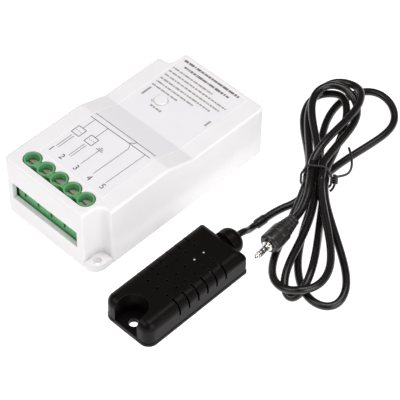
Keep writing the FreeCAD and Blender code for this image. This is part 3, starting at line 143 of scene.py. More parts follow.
def stretched(tree, value, taken, given=(0.0, 1.0)):
    """A value whose range, from the first of taken to the last, becomes the given one."""
    node = add(tree, "MapRange", Value=value, From_Min=taken[0], From_Max=taken[1],
               To_Min=given[0], To_Max=given[1])
    return node.outputs["Result"]


def show(tree, shader):
    """Let a shader be what the surface shows."""
    output = add(tree, "OutputMaterial")
    tree.links.new(shader.outputs["BSDF"], output.inputs["Surface"])


def finish(name, colour, roughness, grain=0.3, depth=0.012, patchy=0.05, patch=9, edge=0.18,
           edge_highlight=0.0, metallic=0.0, specular=0.5, coat=0.0, stretch=(1, 1, 1)):
    """A moulded, drawn or polished surface. Grain, depth, patch and edge are in millimetres."""
    material, tree = blank_material(name)
    whole = add(tree, "TexCoord").outputs["Object"]
    drawn = add(tree, "Mapping", Vector=whole, Scale=stretch).outputs["Vector"]
    fine = add(tree, "TexNoise", Vector=drawn, Scale=1 / (grain * MM), Detail=GRAIN_DETAIL,
               Roughness=GRAIN_ROUGHNESS).outputs["Fac"]
    broad = add(tree, "TexNoise", Vector=drawn, Scale=1 / (patch * MM),
                Detail=PATCH_DETAIL).outputs["Fac"]
    soft = add(tree, "Bevel", {"samples": BEVEL_SAMPLES}, Radius=edge * MM).outputs["Normal"]
    tone = stretched(tree, broad, TONE_RANGE)
    paint = blend(tree, tone, shade(colour, 1 - patchy), shade(colour, 1 + patchy))
    # Painted highlight: near edges, where the rounded normal turns from the face, the paint goes
    # towards grey
    if edge_highlight:
        flat = add(tree, "NewGeometry").outputs["Normal"]
        turned = add(tree, "VectorMath", {"operation": "DOT_PRODUCT"})
        tree.links.new(soft, turned.inputs[0])
        tree.links.new(flat, turned.inputs[1])
        painted_highlight = stretched(tree, turned.outputs["Value"], EDGE_HIGHLIGHT_RANGE, (0.0, edge_highlight))
        mix = add(tree, "MixRGB", Fac=painted_highlight, Color1=paint, Color2=EDGE_HIGHLIGHT_COLOUR)
        paint = mix.outputs["Color"]
    gloss = stretched(tree, fine, GRAIN_RANGE,
                      (roughness * GLOSS_SHARES[0], min(1, roughness * GLOSS_SHARES[1])))
    bump = add(tree, "Bump", Height=fine, Distance=depth * MM, Normal=soft).outputs["Normal"]
    shader = add(tree, "BsdfPrincipled", Base_Color=paint, Roughness=gloss, Normal=bump,
                 Metallic=metallic, Specular_IOR_Level=specular, Coat_Weight=coat,
                 Coat_Roughness=COAT_ROUGHNESS)
    show(tree, shader)
    return material


WHITE = finish("white_plastic", (0.80, 0.785, 0.795), 0.46, grain=0.35, depth=0.008,
               patchy=0.012, edge=0.25)
GREEN = finish("green_plastic", (0.09, 0.36, 0.13), 0.34, grain=0.4, depth=0.01, patchy=0.08,
               edge=0.2, edge_highlight=0.5)
BLACK = finish("black_plastic", (0.0036, 0.0022, 0.0023), 0.34, grain=0.22, depth=0.012,
               patchy=0.12, edge=0.25, edge_highlight=0.06, specular=0.10)
SENSOR = finish("sensor_plastic", (0.45, 0.44, 0.42), 0.40, patchy=0.03)
CORD = finish("cord_jacket", (0.0056, 0.0042, 0.0040), 0.27, grain=3.0, depth=0.004,
              patchy=0.12, patch=14, specular=0.42)
GRIP = finish("grip_plastic", (0.014, 0.0115, 0.0115), 0.27, grain=0.3, depth=0.01, patchy=0.1,
              edge_highlight=0.2, edge=0.1, specular=0.7)
TIE = finish("tie_plastic", (0.012, 0.011, 0.011), 0.42, grain=0.35, depth=0.02, patchy=0.15,
             edge_highlight=0.15)
BLUE = finish("blue_plastic", (0.035, 0.12, 0.45), 0.40, patchy=0.06, edge_highlight=0.1)
YELLOW = finish("yellow_plastic", (0.75, 0.52, 0.06), 0.42, patchy=0.06)
LAMP = finish("lamp_plastic", (0.65, 0.10, 0.07), 0.18, grain=0.6, depth=0.004, patchy=0.05,
              coat=0.4)
GLASS = finish("fuse_glass", (0.72, 0.76, 0.74), 0.08, grain=0.8, depth=0.003, patchy=0.04,
               coat=0.6)
STEEL = finish("steel", (0.46, 0.46, 0.47), 0.32, grain=0.25, depth=0.008, patchy=0.1,
               metallic=1.0)
SCREW = finish("screw_steel", (0.62, 0.54, 0.47), 0.32, grain=0.3, depth=0.01, patchy=0.18,
               patch=2, metallic=0.75, stretch=(1, 6, 1))
PLUG_METAL = finish("plug_metal", (0.83, 0.80, 0.76), 0.14, grain=0.6, depth=0.003, patchy=0.06,
                    patch=3, metallic=1.0, edge=0.08)
BRASS = finish("brass", (0.72, 0.52, 0.24), 0.28, grain=0.3, depth=0.006, patchy=0.1,
               metallic=1.0)
COPPER = finish("copper", (0.70, 0.33, 0.18), 0.30, grain=0.2, depth=0.02, patchy=0.1,
                metallic=1.0, stretch=(1, 8, 8))
BOARD = finish("board", (0.015, 0.14, 0.055), 0.36, grain=0.8, depth=0.02, patchy=0.25,
               patch=1.6, coat=0.3)
INK = finish("ink", (0.075, 0.062, 0.058), 0.55, grain=0.2, depth=0.004, patchy=0.18, patch=1.5)
TITLE_INK = finish("title_ink", (0.20, 0.17, 0.165), 0.55, grain=0.2, depth=0.004, patchy=0.25,
                   patch=1.0)
FAINT_INK = finish("faint_ink", (0.36, 0.31, 0.295), 0.55, grain=0.2, depth=0.004, patchy=0.2,
                   patch=1.2)
FILM = finish("label_film", (0.795, 0.782, 0.805), 0.36, grain=0.6, depth=0.003, patchy=0.01,
              edge=0.05)
# A lighter colour round the label's edge: a painted highlight
LABEL_HIGHLIGHT = finish("label_edge_highlight", (0.92, 0.915, 0.92), 0.30, grain=0.6, depth=0.003, patchy=0.01,
             edge=0.05)
TERMINALS = range(1, 6)

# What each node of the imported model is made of
NODE_LOOKS = {
    WHITE: ["top_cover", "base_plate", "reset_button", "push_switch_plunger"],
    SENSOR: ["probe_sensor"],
    GREEN: ["terminal_block"],
    BLACK: ["probe_cover", "probe_base", "probe_gland", "relay_base", "push_switch_body",
            "jack_socket", "electrolytic_capacitors", "transformer_core"],
    BLUE: ["relay_case", "varistor"],
    YELLOW: ["safety_capacitor", "transformer_winding"],
    LAMP: ["signal_lamps"],
    GLASS: ["fuse"],
    BOARD: ["main_board", "radio_board", "probe_board"],
    STEEL: ["case_screws", "board_screws", "relay_yoke", "relay_armature", "radio_shield",
            "jack_springs", *(f"clamp_cage_{number}" for number in TERMINALS)],
    SCREW: [f"terminal_screw_{number}" for number in TERMINALS],
    BRASS: ["terminal_contacts", "relay_contact_blade", "relay_fixed_contact"],
    COPPER: ["relay_coil"],
}


def dress_nodes():
    for material, names in NODE_LOOKS.items():
        for name in names:
            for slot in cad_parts[name].material_slots:
                slot.material = material


def place(piece, material, slot):
    """Finish a new piece and let it ride with the housing."""
    piece.data.materials.append(material)
    bpy.context.scene.collection.objects.link(piece)
    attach(piece, STATIC)
    return piece


# The cord. Its points are those of the route that the cord's solids follow.
CORD_RADIUS = 1.6
LEAD_RADIUS = 1.4
CORD_CLEARANCE = 0.5
SLEEVE_START = mm(52.5, 14.7, 1.95)
SLEEVE_TURN = 86.6
SLEEVE_LENGTH = 4.7
SLEEVE_RADIUS = 1.95
LEAD_POINTS = [(53.5, 4.4, 5.95), (53.4, 6.8, 5.1), (52.8, 9.7, 2.75)]
RUN_POINTS = [(54.1, 29.0, 1.95), (55.3, 32.4, 1.95), (56.0, 36.7, 2.4)]
PLUG_LEAD_POINTS = [(62.8, 31.0, 8.9), (60.6, 35.6, 9.8)]
SLEEVE_RUNS = (2.5, 4.6)
PLUG_RUN = 3.9
STRAND_RUN = 4.3
JOIN_BACK = 0.8
PLUG_PLACE = mm(66.8, 6.1, 8.3)
PLUG_TURN = 7
GRIP_LENGTH = 9.6
RELIEF_LENGTH = 7.4
WAIST = mm(54.8, 47.2, 0)
WAIST_TURN = 127
WAIST_HEIGHT = 1.5
WAIST_HALF = 4
# Tied strands in the order in which the cord passes them: layer from below, column from the left.
STRANDS = [(0, -1), (1, 1), (0, 0), (0, 1), (1, 0), (2, 0.6), (1, -1), (2, -0.6)]
# Loops between them: heading of the far end, reach from the tie, width, bow, skew, how
# narrow the foot is, and the heights of evenly spaced places on the way round
LOOPS = [
    (129.2, 50.4, 16.3, 1.7, 4.0, 1, (1.7, 1.7, 3.1, 6.9, 6.1)),
    (-42.7, 63.4, 17.7, 0.6, 0.0, 1, (5.7, 4.0, 2.1, 1.7, 1.7)),
    (100.6, 57.0, 25.0, 3.7, -3.8, 1, (3.7, 1.7, 4.7, 2.9, 1.7)),
    (-57.8, 60.2, 9.0, 0.9, -4.0, 2, (1.7, 8.1, 2.1, 5.3, 5.9)),
    (122.7, 48.6, 18.8, 2.7, 0.9, 1, (8.2, 9.9, 11.1, 8.1, 10.2)),
    (-53.9, 60.9, 21.5, -1.2, 2.4, 1, (9.9, 9.0, 7.8, 7.4, 7.9, 8.3, 5.9, 3.2, 1.9, 4.0, 7.2)),
    (119.8, 53.2, 20.3, 2.0, 0.4, 1, (5.7, 5.6, 9.0, 11.9, 13.6)),
]
# Greatest value of sin(turn) sin(turn / 2)^(2 fullness), which a loop's width is measured by
BULGE = {1: 0.6495, 2: 0.5175}
LOOP_POINTS = 24


def way_of(number):
    """1 for a strand that runs with the waist's heading, -1 for one that runs against it."""
    return 1 if number % 2 == 0 else -1


def strand(number, back=0):
    """A place on a tied strand, so many millimetres before or beyond the tie's middle."""
    layer, column = STRANDS[number]
    pitch = 2 * CORD_RADIUS + CORD_CLEARANCE
    height = WAIST_HEIGHT + CORD_RADIUS + layer * pitch
    way = heading(WAIST_TURN) * back + rightward(WAIST_TURN) * column * pitch
    return WAIST + (way + Vector((0, 0, height))) * MM


def loop_point(number, share):
    """A point of a loop, by its share of the way round from one tied strand to the next."""
    toward, reach, width, bow, skew, fullness, heights = LOOPS[number]
    way = way_of(number)
    base = WAIST_TURN + (0 if way > 0 else -180)
    turn = 2 * math.pi * share
    far = (1 - math.cos(turn)) / 2
    swing = width * math.sin(turn) * math.sin(turn / 2) ** (2 * fullness) / (2 * BULGE[fullness])
    along = (reach - WAIST_HALF) * far - skew * math.sin(turn) * far
    side = 4 * bow * far * (1 - far) - way * swing
    faced = base + ((toward - base + 180) % 360 - 180) * far
    first, last = (strand(n, way * WAIST_HALF) for n in (number, number + 1))
    shift = share - math.sin(turn) / (2 * math.pi)
    middle = WAIST + heading(base) * WAIST_HALF * MM
    foot = middle + (first + (last - first) * shift - middle) * (1 - far)
    knots = (first.z, *(height * MM for height in heights), last.z)
    span = min(int(share * (len(knots) - 1)), len(knots) - 2)
    ease = (1 - math.cos(math.pi * (share * (len(knots) - 1) - span))) / 2
    point = foot + (heading(faced) * along + rightward(faced) * way * side) * MM
    point.z = knots[span] + ease * (knots[span + 1] - knots[span])
    return point


def on_sleeve(along):
    return SLEEVE_START + heading(SLEEVE_TURN) * along * MM


def gland_end():
    low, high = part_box("probe_gland")
    return Vector(((low.x + high.x) / 2, high.y, (low.z + high.z) / 2))


def cord_route():
    """Every point of the cord's route, and its thickness there as a share of the full one."""
    away = heading(90 + PLUG_TURN) * MM
    relief_end = PLUG_PLACE + away * (GRIP_LENGTH + RELIEF_LENGTH)
    thin = [gland_end(), *(mm(*point) for point in LEAD_POINTS), on_sleeve(-SLEEVE_RUNS[0]),
            on_sleeve(0)]
    points = [on_sleeve(SLEEVE_LENGTH), on_sleeve(SLEEVE_LENGTH + SLEEVE_RUNS[1]),
              *(mm(*point) for point in RUN_POINTS), strand(0, -JOIN_BACK - STRAND_RUN),
              strand(0, -JOIN_BACK)]
    for number in range(len(STRANDS)):
        way = way_of(number)
        if number:
            points.append(strand(number, -way * WAIST_HALF))
        points.append(strand(number, way * WAIST_HALF))
        if number < len(LOOPS):
            points.extend(loop_point(number, step / LOOP_POINTS) for step in range(1, LOOP_POINTS))
    points.append(strand(len(STRANDS) - 1, -WAIST_HALF - STRAND_RUN))
    points.extend(mm(*point) for point in reversed(PLUG_LEAD_POINTS))
    points.extend([relief_end + away * PLUG_RUN, relief_end])
    return [(point, LEAD_RADIUS / CORD_RADIUS) for point in thin] + [(point, 1) for point in points]


# How finely a line is drawn: round its section, and along each part of it
ROUND_STEPS = 6
LINE_STEPS = 8


def line_of(name, radius, splines, cyclic=False):
    """A round line along smooth splines. Each spline is a list of (point, share of the radius)."""
    data = bpy.data.curves.new(name, "CURVE")
    data.dimensions = "3D"
    data.bevel_depth = radius * MM
    data.bevel_resolution = ROUND_STEPS
    data.resolution_u = LINE_STEPS
    data.use_fill_caps = True
    for route in splines:
        spline = data.splines.new("NURBS")
        spline.points.add(len(route) - 1)
        for point, (at, share) in zip(spline.points, route):
            point.co = (*at, 1)
            point.radius = share
        spline.order_u = 3
        spline.use_endpoint_u = not cyclic
        spline.use_cyclic_u = cyclic
    return bpy.data.objects.new(name, data)


def make_cord():
    return place(line_of("cord", CORD_RADIUS, [cord_route()]), CORD, "cord")


# Turned pieces
SIDES = 72
SHARP_ANGLE = math.radians(38)


def rounded(outline, radius, steps=5):
    """An outline with its corners rounded."""
    corners = [Vector(corner) for corner in outline]
    smooth = [corners[0]]
    for before, corner, after in zip(corners, corners[1:], corners[2:]):
        into, out = corner - before, after - corner
        reach = min(radius, into.length / 2, out.length / 2)
        start = corner - into.normalized() * reach
        end = corner + out.normalized() * reach
        for step in range(steps + 1):
            share = step / steps
            smooth.append(start.lerp(corner, share).lerp(corner.lerp(end, share), share))
    smooth.append(corners[-1])
    return smooth


def skin(form, rings, closed=False):
    """Faces from ring to ring, back to the first ring or with flat ends."""
    pairs = list(zip(rings, rings[1:]))
    if closed:
        pairs.append((rings[-1], rings[0]))
    else:
        form.faces.new(rings[0])
        form.faces.new(reversed(rings[-1]))
    for ring, following in pairs:
        for side in range(len(ring)):
            after = (side + 1) % len(ring)
            form.faces.new((ring[after], ring[side], following[side], following[after]))


def lathe(name, outlines, frame_of, closed=False):
    """Solids turned about Y from outlines of (along, radius) in millimetres, set in a frame."""
    form = bmesh.new()
    turns = [2 * math.pi * side / SIDES for side in range(SIDES)]
    for outline in outlines:
        rings = []
        for along, radius in outline:
            ring = [mm(radius * math.cos(turn), along, radius * math.sin(turn)) for turn in turns]
            rings.append([form.verts.new(frame_of @ point) for point in ring])
        skin(form, rings, closed)
    bmesh.ops.recalc_face_normals(form, faces=form.faces)
    return mesh_piece(name, form)


def mesh_piece(name, form, smooth=True):
    data = bpy.data.meshes.new(name)
    form.to_mesh(data)
    form.free()
    if smooth:
        data.shade_smooth()
        data.set_sharp_from_angle(angle=SHARP_ANGLE)
    return bpy.data.objects.new(name, data)


PLUG_FRAME = Matrix.Translation(PLUG_PLACE) @ Matrix.Rotation(math.radians(PLUG_TURN), 4, "Z")
SHAFT_RADIUS = 1.25
SHAFT_END = -8.4
# The plug's outlines are (along, radius), from the front of the grip towards the cord
GRIP_RADIUS = 4.4
BARREL_OUTLINE = [
    (0.35, SHAFT_RADIUS), (0.35, 2.75), (0, 3.0), (0, 3.6), (0.75, GRIP_RADIUS), (5.4, GRIP_RADIUS),
    (5.5, 4.0), (5.85, 4.0), (5.95, 4.3), (9.0, 4.22), (GRIP_LENGTH, 3.7)]
GRIP_ROUNDING = 0.22
RIBS = 4
# A rib's groove and its top: places from where the rib starts, radius at the first rib, and how
# much less that is at each next one
GROOVE_PLACES, GROOVE_RADIUS, GROOVE_LESS = (0.1, 0.7), 3.0, 0.22
TOP_PLACE, TOP_RADIUS, TOP_LESS = 0.85, 3.65, 0.33
TOP_END, TOP_TAPER = 0.15, 0.12
RELIEF_EDGE, RELIEF_END_RADIUS = 0.02, 2.3
NOSE_OUTLINE = [(0, 0.15), (0.06, 0.5), (0.75, 1.16), (1.05, 1.22), (1.5, 0.98), (1.75, 0.94)]
NOSE_GAP = 0.12
RINGS = (-6.2, -4.4, -2.6)
RING_WIDTH, RING_DEPTH, RING_EDGE = 0.45, 0.12, 0.01
COLLAR_LENGTH, COLLAR_RADIUS, COLLAR_SUNK = 0.8, 2.3, 0.3
METAL_ROUNDING, METAL_STEPS = 0.06, 3
BAND_GAP, BAND_SUNK, BAND_PROUD = 0.015, 0.1, 0.012


def grip_outline():
    """The barrel in two steps with a groove between, then the ribs of the relief."""
    outline = list(BARREL_OUTLINE)
    step = RELIEF_LENGTH / RIBS
    for rib in range(RIBS):
        start = GRIP_LENGTH + rib * step
        root, top = GROOVE_RADIUS - GROOVE_LESS * rib, TOP_RADIUS - TOP_LESS * rib
        outline.extend((start + along, root) for along in GROOVE_PLACES)
        outline.extend([(start + TOP_PLACE, top), (start + step - TOP_END, top - TOP_TAPER)])
    end = GRIP_LENGTH + RELIEF_LENGTH
    outline.extend([(end - RELIEF_EDGE, RELIEF_END_RADIUS), (end, CORD_RADIUS)])
    return rounded(outline, GRIP_ROUNDING)


def metal_outline():
    """Tip with its neck, the poles and the collar. The insulating rings fill the waists."""
    waist = SHAFT_RADIUS - RING_DEPTH
    outline = [(SHAFT_END + along, radius) for along, radius in NOSE_OUTLINE]
    outline.append((RINGS[0] - NOSE_GAP, SHAFT_RADIUS))
    for start in RINGS:
        end = start + RING_WIDTH
        outline.extend([(start, SHAFT_RADIUS), (start + RING_EDGE, waist), (end - RING_EDGE, waist),
                        (end, SHAFT_RADIUS)])
    outline.extend([(-COLLAR_LENGTH, SHAFT_RADIUS), (-COLLAR_LENGTH, COLLAR_RADIUS),
                    (COLLAR_SUNK, COLLAR_RADIUS), (COLLAR_SUNK, SHAFT_RADIUS)])
    return rounded(outline, METAL_ROUNDING, METAL_STEPS)


def band_outlines():
    """Sections of the insulating rings."""
    inner, outer = SHAFT_RADIUS - BAND_SUNK, SHAFT_RADIUS + BAND_PROUD
    outlines = []
    for start in RINGS:
        near, far = start + BAND_GAP, start + RING_WIDTH - BAND_GAP
        outlines.append([(near, inner), (near, outer), (far, outer), (far, inner)])
    return outlines


def make_plug():
    grip = place(lathe("plug_barrel", [grip_outline()], PLUG_FRAME), GRIP, "grip_plastic")
    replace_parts(grip, "plug_grip")
    metal = place(lathe("plug_shaft", [metal_outline()], PLUG_FRAME), PLUG_METAL, "plug_metal")
    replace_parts(metal, "plug_poles")
    rings = lathe("plug_bands", band_outlines(), PLUG_FRAME, closed=True)
    place(rings, BLACK, "black_plastic")
    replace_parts(rings, "plug_rings")
    return [grip, metal, rings]


SLEEVE_LAP = 0.2
SLEEVE_ROUNDING = 0.3


def make_sleeve():
    turn = Matrix.Rotation(math.radians(SLEEVE_TURN - 90), 4, "Z")
    outline = [(0, LEAD_RADIUS - SLEEVE_LAP), (0, SLEEVE_RADIUS), (SLEEVE_LENGTH, SLEEVE_RADIUS),
               (SLEEVE_LENGTH, CORD_RADIUS - SLEEVE_LAP)]
    form = lathe("joint_sleeve", [rounded(outline, SLEEVE_ROUNDING)],
                 Matrix.Translation(SLEEVE_START) @ turn)
    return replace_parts(place(form, CORD, "cord"), "lead_sleeve")


# The white sensor shows in two of the probe's vents
TIP_PLACES = [(53.5, -16.4, 11.2), (53.5, -21.4, 11.2)]
TIP_RADIUS = 0.45
TIP_HEIGHT = 0.3


def make_sensor_tips():
    for number, at in enumerate(TIP_PLACES, 1):
        frame_of = Matrix.Translation(mm(*at)) @ Matrix.Rotation(math.radians(90), 4, "X")
        outline = [(0, TIP_RADIUS), (TIP_HEIGHT, TIP_RADIUS)]
        place(lathe(f"sensor_tip_{number}", [outline], frame_of), WHITE, "white_plastic")


# The tie: a wire band round the strands, twisted at one side, with two loose ends
TIE_RADIUS = 0.5
TIE_GAP = 0.35
BAND_STEPS = 4
KNOT_FOOT = mm(60.94, 51.83, 3.8)
KNOT_LENGTH = 4.4
KNOT_TURNS = 1.6
KNOT_STEPS = 28
# In the knot the wires lie so far from its middle, and are so much thicker
KNOT_LEAN = 0.62
KNOT_SHARE = 1.15
TAIL_LAP = mm(0, 0, 0.6)
TIE_ORDER = [(0, -1), (0, 1), (1, 1), (2, 0.6), (2, -0.6), (1, -1)]
TAIL_POINTS = [(63.2, 54.6, 7.8), (64.0, 57.2, 8.8), (62.3, 60.2, 9.6), (58.8, 63.6, 9.7),
               (55.1, 66.4, 9.2)]
SHORT_TAIL_POINTS = [(61.9, 50.4, 2.6), (61.0, 49.0, 1.3)]


def band_points():
    """Points round the tied strands, at the middle of the band's wire."""
    along = heading(WAIST_TURN)
    centres = [strand(STRANDS.index(at)) for at in TIE_ORDER]
    off = (CORD_RADIUS + TIE_GAP + TIE_RADIUS) * MM
    points = []
    previous, following = centres[-1:] + centres[:-1], centres[1:] + centres[:1]
    for before, centre, after in zip(previous, centres, following):
        first = along.cross(centre - before).normalized()
        last = along.cross(after - centre).normalized()
        for step in range(BAND_STEPS + 1):
            points.append(centre + first.slerp(last, step / BAND_STEPS) * off)
    return points


def make_tie():
    twist = []
    for side in (0, 1):
        coil = []
        for step in range(KNOT_STEPS + 1):
            share = step / KNOT_STEPS
            turn = 2 * math.pi * KNOT_TURNS * share + math.pi * side
            lean = Vector((math.cos(turn), math.sin(turn), 0)) * KNOT_LEAN * MM
            rise = Vector((0, 0, KNOT_LENGTH * share * MM))
            coil.append((KNOT_FOOT + lean + rise, KNOT_SHARE))
        twist.append(coil)
    top = KNOT_FOOT + Vector((0, 0, KNOT_LENGTH * MM))
    tail = [(top - TAIL_LAP, 1), *((mm(*point), 1) for point in TAIL_POINTS)]
    short_tail = [(KNOT_FOOT + TAIL_LAP, 1), *((mm(*point), 1) for point in SHORT_TAIL_POINTS)]
    ring = [(point, 1) for point in band_points()]
    wires = line_of("tie_twist", TIE_RADIUS, [*twist, tail, short_tail])
    place(wires, TIE, "tie_wire")
    band = place(line_of("tie_band", TIE_RADIUS, [ring], True), TIE, "tie_wire")
    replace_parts(wires, "twist_tie")
    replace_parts(band, "twist_tie")
    return [wires, band]


# Prints on the cover. They follow its surface, found from above.
FILM_LIFT = 0.004
FILM_THICKNESS = 0.02
PRINT_LIFT = 0.03
PRINT_THICKNESS = 0.03
# Greatest distance between the places where a print is set on the cover
PRINT_STEP = 0.6
# Height above the whole part, in metres
LOOK_FROM = 0.1


def cover_finder():
    """A function that gives the cover's height at a place, found from above."""
    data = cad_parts["top_cover"].data
    tree = BVHTree.FromPolygons([vertex.co for vertex in data.vertices],
                                [face.vertices for face in data.polygons])
    down = Vector((0, 0, -1))
    return lambda x, y: tree.ray_cast(Vector((x, y, LOOK_FROM)), down)[0].z


COVER_TOP = cover_finder()


def stroke(form, points, width):
    """A thin closed ribbon along a line on the cover, in millimetres."""
    line = [Vector(point) for point in points]
    stations = []
    for start, end in zip(line, line[1:]):
        count = max(1, round((end - start).length / PRINT_STEP))
        stations.extend(start.lerp(end, step / count) for step in range(count))
    stations.append(line[-1])
    top = PRINT_LIFT + PRINT_THICKNESS
    corners = ((-1, PRINT_LIFT), (1, PRINT_LIFT), (1, top), (-1, top))
    rings = []
    for number, at in enumerate(stations):
        before = stations[max(0, number - 1)]
        after = stations[min(len(stations) - 1, number + 1)]
        side = (after - before).normalized().orthogonal() * width / 2
        ring = []
        for way, lift in corners:
            x, y = (at + side * way) * MM
            ring.append(form.verts.new((x, y, COVER_TOP(x, y) + lift * MM)))
        rings.append(ring)
    skin(form, rings)


def print_of(name, strokes, material):
    """A piece made of strokes of (width, points)."""
    form = bmesh.new()
    for width, points in strokes:
        stroke(form, points, width)
    bmesh.ops.recalc_face_normals(form, faces=form.faces)
    return place(mesh_piece(name, form, smooth=False), material, "white_plastic")


LINE = 0.3
FINE_LINE = 0.22
BUS_FAR = [(-17.2, -5.3), (16.1, -5.0)]
BUS_NEAR = [(-17.3, -8.2), (15.7, -7.7)]
BOXES = [((-16.7, -19.25), (-12.5, -15.0)), ((-9.5, -19.3), (-5.4, -15.1))]
LINES_END = -28.8
EARTH = (-1.3, -18.8)
TERMINAL_NUMBERS = [(-15.5, -31.1), (-9.3, -31.3), (-1.2, -31.4), (6.4, -31.6), (13.2, -31.0)]
NUMBER_SIZE = 4.0
# From the middle of a box's foot: its two leads with their start below it, and its three dots
# with their height above it
LEAD_SIDES, LEAD_DROP = (-0.55, 0.55), 1.2
DOT_SPOTS, DOT_HALF, DOT_RISE = (-1.1, 0.0, 1.1), 0.2, 2.1
# Half widths of the earth sign's bars, and their heights over its foot
EARTH_BARS = ((1.7, 0.0), (1.15, 0.75), (0.6, 1.5))
SWITCH_ARM = [(5.8, BUS_FAR[1][1]), (5.6, -6.7), (4.1, -7.6)]
SWITCH_LEAD = [(5.0, -8.2), (6.1, -10.2), (5.9, LINES_END)]
RIGHT_LEAD = [(13.1, BUS_NEAR[1][1]), (12.8, LINES_END)]


def rectangle(low, high):
    return [low, (high[0], low[1]), high, (low[0], high[1]), low]


def diagram_strokes():
    """A plain wiring sketch: two bars, two boxes with leads, an earth sign and a switch."""
    strokes = [(LINE, BUS_FAR), (LINE, BUS_NEAR)]
    for low, high in BOXES:
        middle = (low[0] + high[0]) / 2
        strokes.append((LINE, rectangle(low, high)))
        strokes.append((FINE_LINE, [(middle, high[1]), (middle, BUS_NEAR[0][1])]))
        for side in LEAD_SIDES:
            across = middle + side
            strokes.append((FINE_LINE, [(across, low[1] - LEAD_DROP), (across, LINES_END)]))
        for spot in DOT_SPOTS:
            height = low[1] + DOT_RISE
            dot = [(middle + spot - DOT_HALF, height), (middle + spot + DOT_HALF, height)]
            strokes.append((LINE, dot))
    x, y = EARTH
    strokes.append((FINE_LINE, [(x, y), (x, LINES_END)]))
    for half, rise in EARTH_BARS:
        strokes.append((LINE, [(x - half, y + rise), (x + half, y + rise)]))
    strokes.extend([(LINE, SWITCH_ARM), (FINE_LINE, SWITCH_LEAD), (FINE_LINE, RIGHT_LEAD)])
    return strokes


# Plain bars where the photograph has words: start, middle height and end of each row
TITLE_BARS = [(-16.3, 44.0, 14.2), (-13.6, 41.0, 11.4)]
TEXT_BARS = [(-16.9, 37.8, 5.3), (-16.8, 35.3, 15.2), (-16.6, 32.7, 14.2), (-16.6, 30.1, 11.5),
             (-16.4, 27.6, 4.3), (-16.3, 25.1, -2.2)]
SIDE_BARS = [[(-15.2, 18.0), (-15.2, 23.4)], [(15.5, 22.9), (15.5, 26.4)]]
BUTTON_BAR = (-8.3, 16.1, -2.4)
BUTTON_TICK = [(-10.1, 18.7), (-8.9, 17.6)]
# Height of the bars, and their least and greatest length
TITLE_PRINT = (1.1, (0.5, 3.0))
TEXT_PRINT = (0.8, (0.4, 2.6))
BUTTON_PRINT = (1.0, (0.6, 1.9))
TICK_WIDTH = 0.35
SIDE_BAR_WIDTH = 0.9
WORD_GAP = 0.35
# How much the bars' height and the gaps between them vary
HEIGHT_SPREAD = (0.85, 1.1)
GAP_SPREAD = (0.6, 1.5)
PRINT_SEED = 5


def words(rows, height, lengths, draw):
    """Rows of short bars, as dense as small print."""
    strokes = []
    for start, middle, end in rows:
        at = start
        while at < end:
            stop = min(end, at + draw.uniform(*lengths))
            strokes.append((height * draw.uniform(*HEIGHT_SPREAD), [(at, middle), (stop, middle)]))
            at = stop + WORD_GAP * draw.uniform(*GAP_SPREAD)
    return strokes


def make_prints():
    draw = random.Random(PRINT_SEED)
    print_of("wiring_lines", diagram_strokes(), INK)
    print_of("title_bars", words(TITLE_BARS, *TITLE_PRINT, draw), TITLE_INK)
    bars = words(TEXT_BARS, *TEXT_PRINT, draw)
    bars.extend(words([BUTTON_BAR], *BUTTON_PRINT, draw))
    bars.append((TICK_WIDTH, BUTTON_TICK))
    bars.extend((SIDE_BAR_WIDTH, side) for side in SIDE_BARS)
    print_of("text_bars", bars, FAINT_INK)


FILM_LEFT, FILM_RIGHT = -17.9, 17.6
FILM_FRONT, FILM_REAR = -35.0, 45.3
BUTTON_PLACE = Vector((-6.9, 20.7))
FILM_HOLE = 3.2
HOLE_SIDES = 48
# The film bends over the ramp, so there it is cut into narrow rows
BEND_START, BEND_END, BEND_STEP = -9.0, 9.5, 0.5
# Width of the painted highlight round the film's edge
LABEL_HIGHLIGHT_WIDTH = 0.3
# Points of the plan that are nearer to each other are one
SAME_PLACE = 1e-6


def film_plan():
    """The film's points and faces, seen from above, with the button's hole as a ring of edges."""
    rows = [FILM_FRONT, FILM_REAR]
    steps = round((BEND_END - BEND_START) / BEND_STEP)
    rows.extend(BEND_START + step * BEND_STEP for step in range(steps + 1))
    flat, edges = [], []
    for row in rows:
        edges.append((len(flat), len(flat) + 1))
        flat.extend([Vector((FILM_LEFT, row)), Vector((FILM_RIGHT, row))])
    start = len(flat)
    for side in range(HOLE_SIDES):
        turn = 2 * math.pi * side / HOLE_SIDES
        flat.append(BUTTON_PLACE + Vector((math.cos(turn), math.sin(turn))) * FILM_HOLE)
        edges.append((start + side, start + (side + 1) % HOLE_SIDES))
    places, _, faces, *_ = delaunay_2d_cdt(flat, edges, [], 0, SAME_PLACE)
    return places, faces


def make_label():
    """The thin film that carries the prints, with a hole for the button, and a painted highlight
    round its edge.
    """
    places, faces = film_plan()
    form = bmesh.new()
    under, over = [], []
    for sheet, lift in ((under, FILM_LIFT), (over, FILM_LIFT + FILM_THICKNESS)):
        for at in places:
            height = COVER_TOP(at.x * MM, at.y * MM) + lift * MM
            sheet.append(form.verts.new((*(at * MM), height)))
    for face in faces:
        centre = sum((places[corner] for corner in face), Vector((0, 0))) / len(face)
        if (centre - BUTTON_PLACE).length > FILM_HOLE:
            form.faces.new([over[corner] for corner in face])
            form.faces.new([under[corner] for corner in reversed(face)])
    twins = dict(zip(over, under))
    for edge in [edge for edge in form.edges if edge.is_boundary and edge.verts[0] in twins]:
        first_end, last_end = edge.verts
        form.faces.new((first_end, last_end, twins[last_end], twins[first_end]))
    bmesh.ops.recalc_face_normals(form, faces=form.faces)
    place(mesh_piece("label_film", form, smooth=False), FILM, "white_plastic")
    outline = rectangle((FILM_LEFT, FILM_FRONT), (FILM_RIGHT, FILM_REAR))
    sides = [(LABEL_HIGHLIGHT_WIDTH, [start, end]) for start, end in zip(outline, outline[1:])]
    print_of("label_edge_highlight", sides, LABEL_HIGHLIGHT)


# Points of a number that are nearer to each other, in metres, are one
WELD = 1e-7


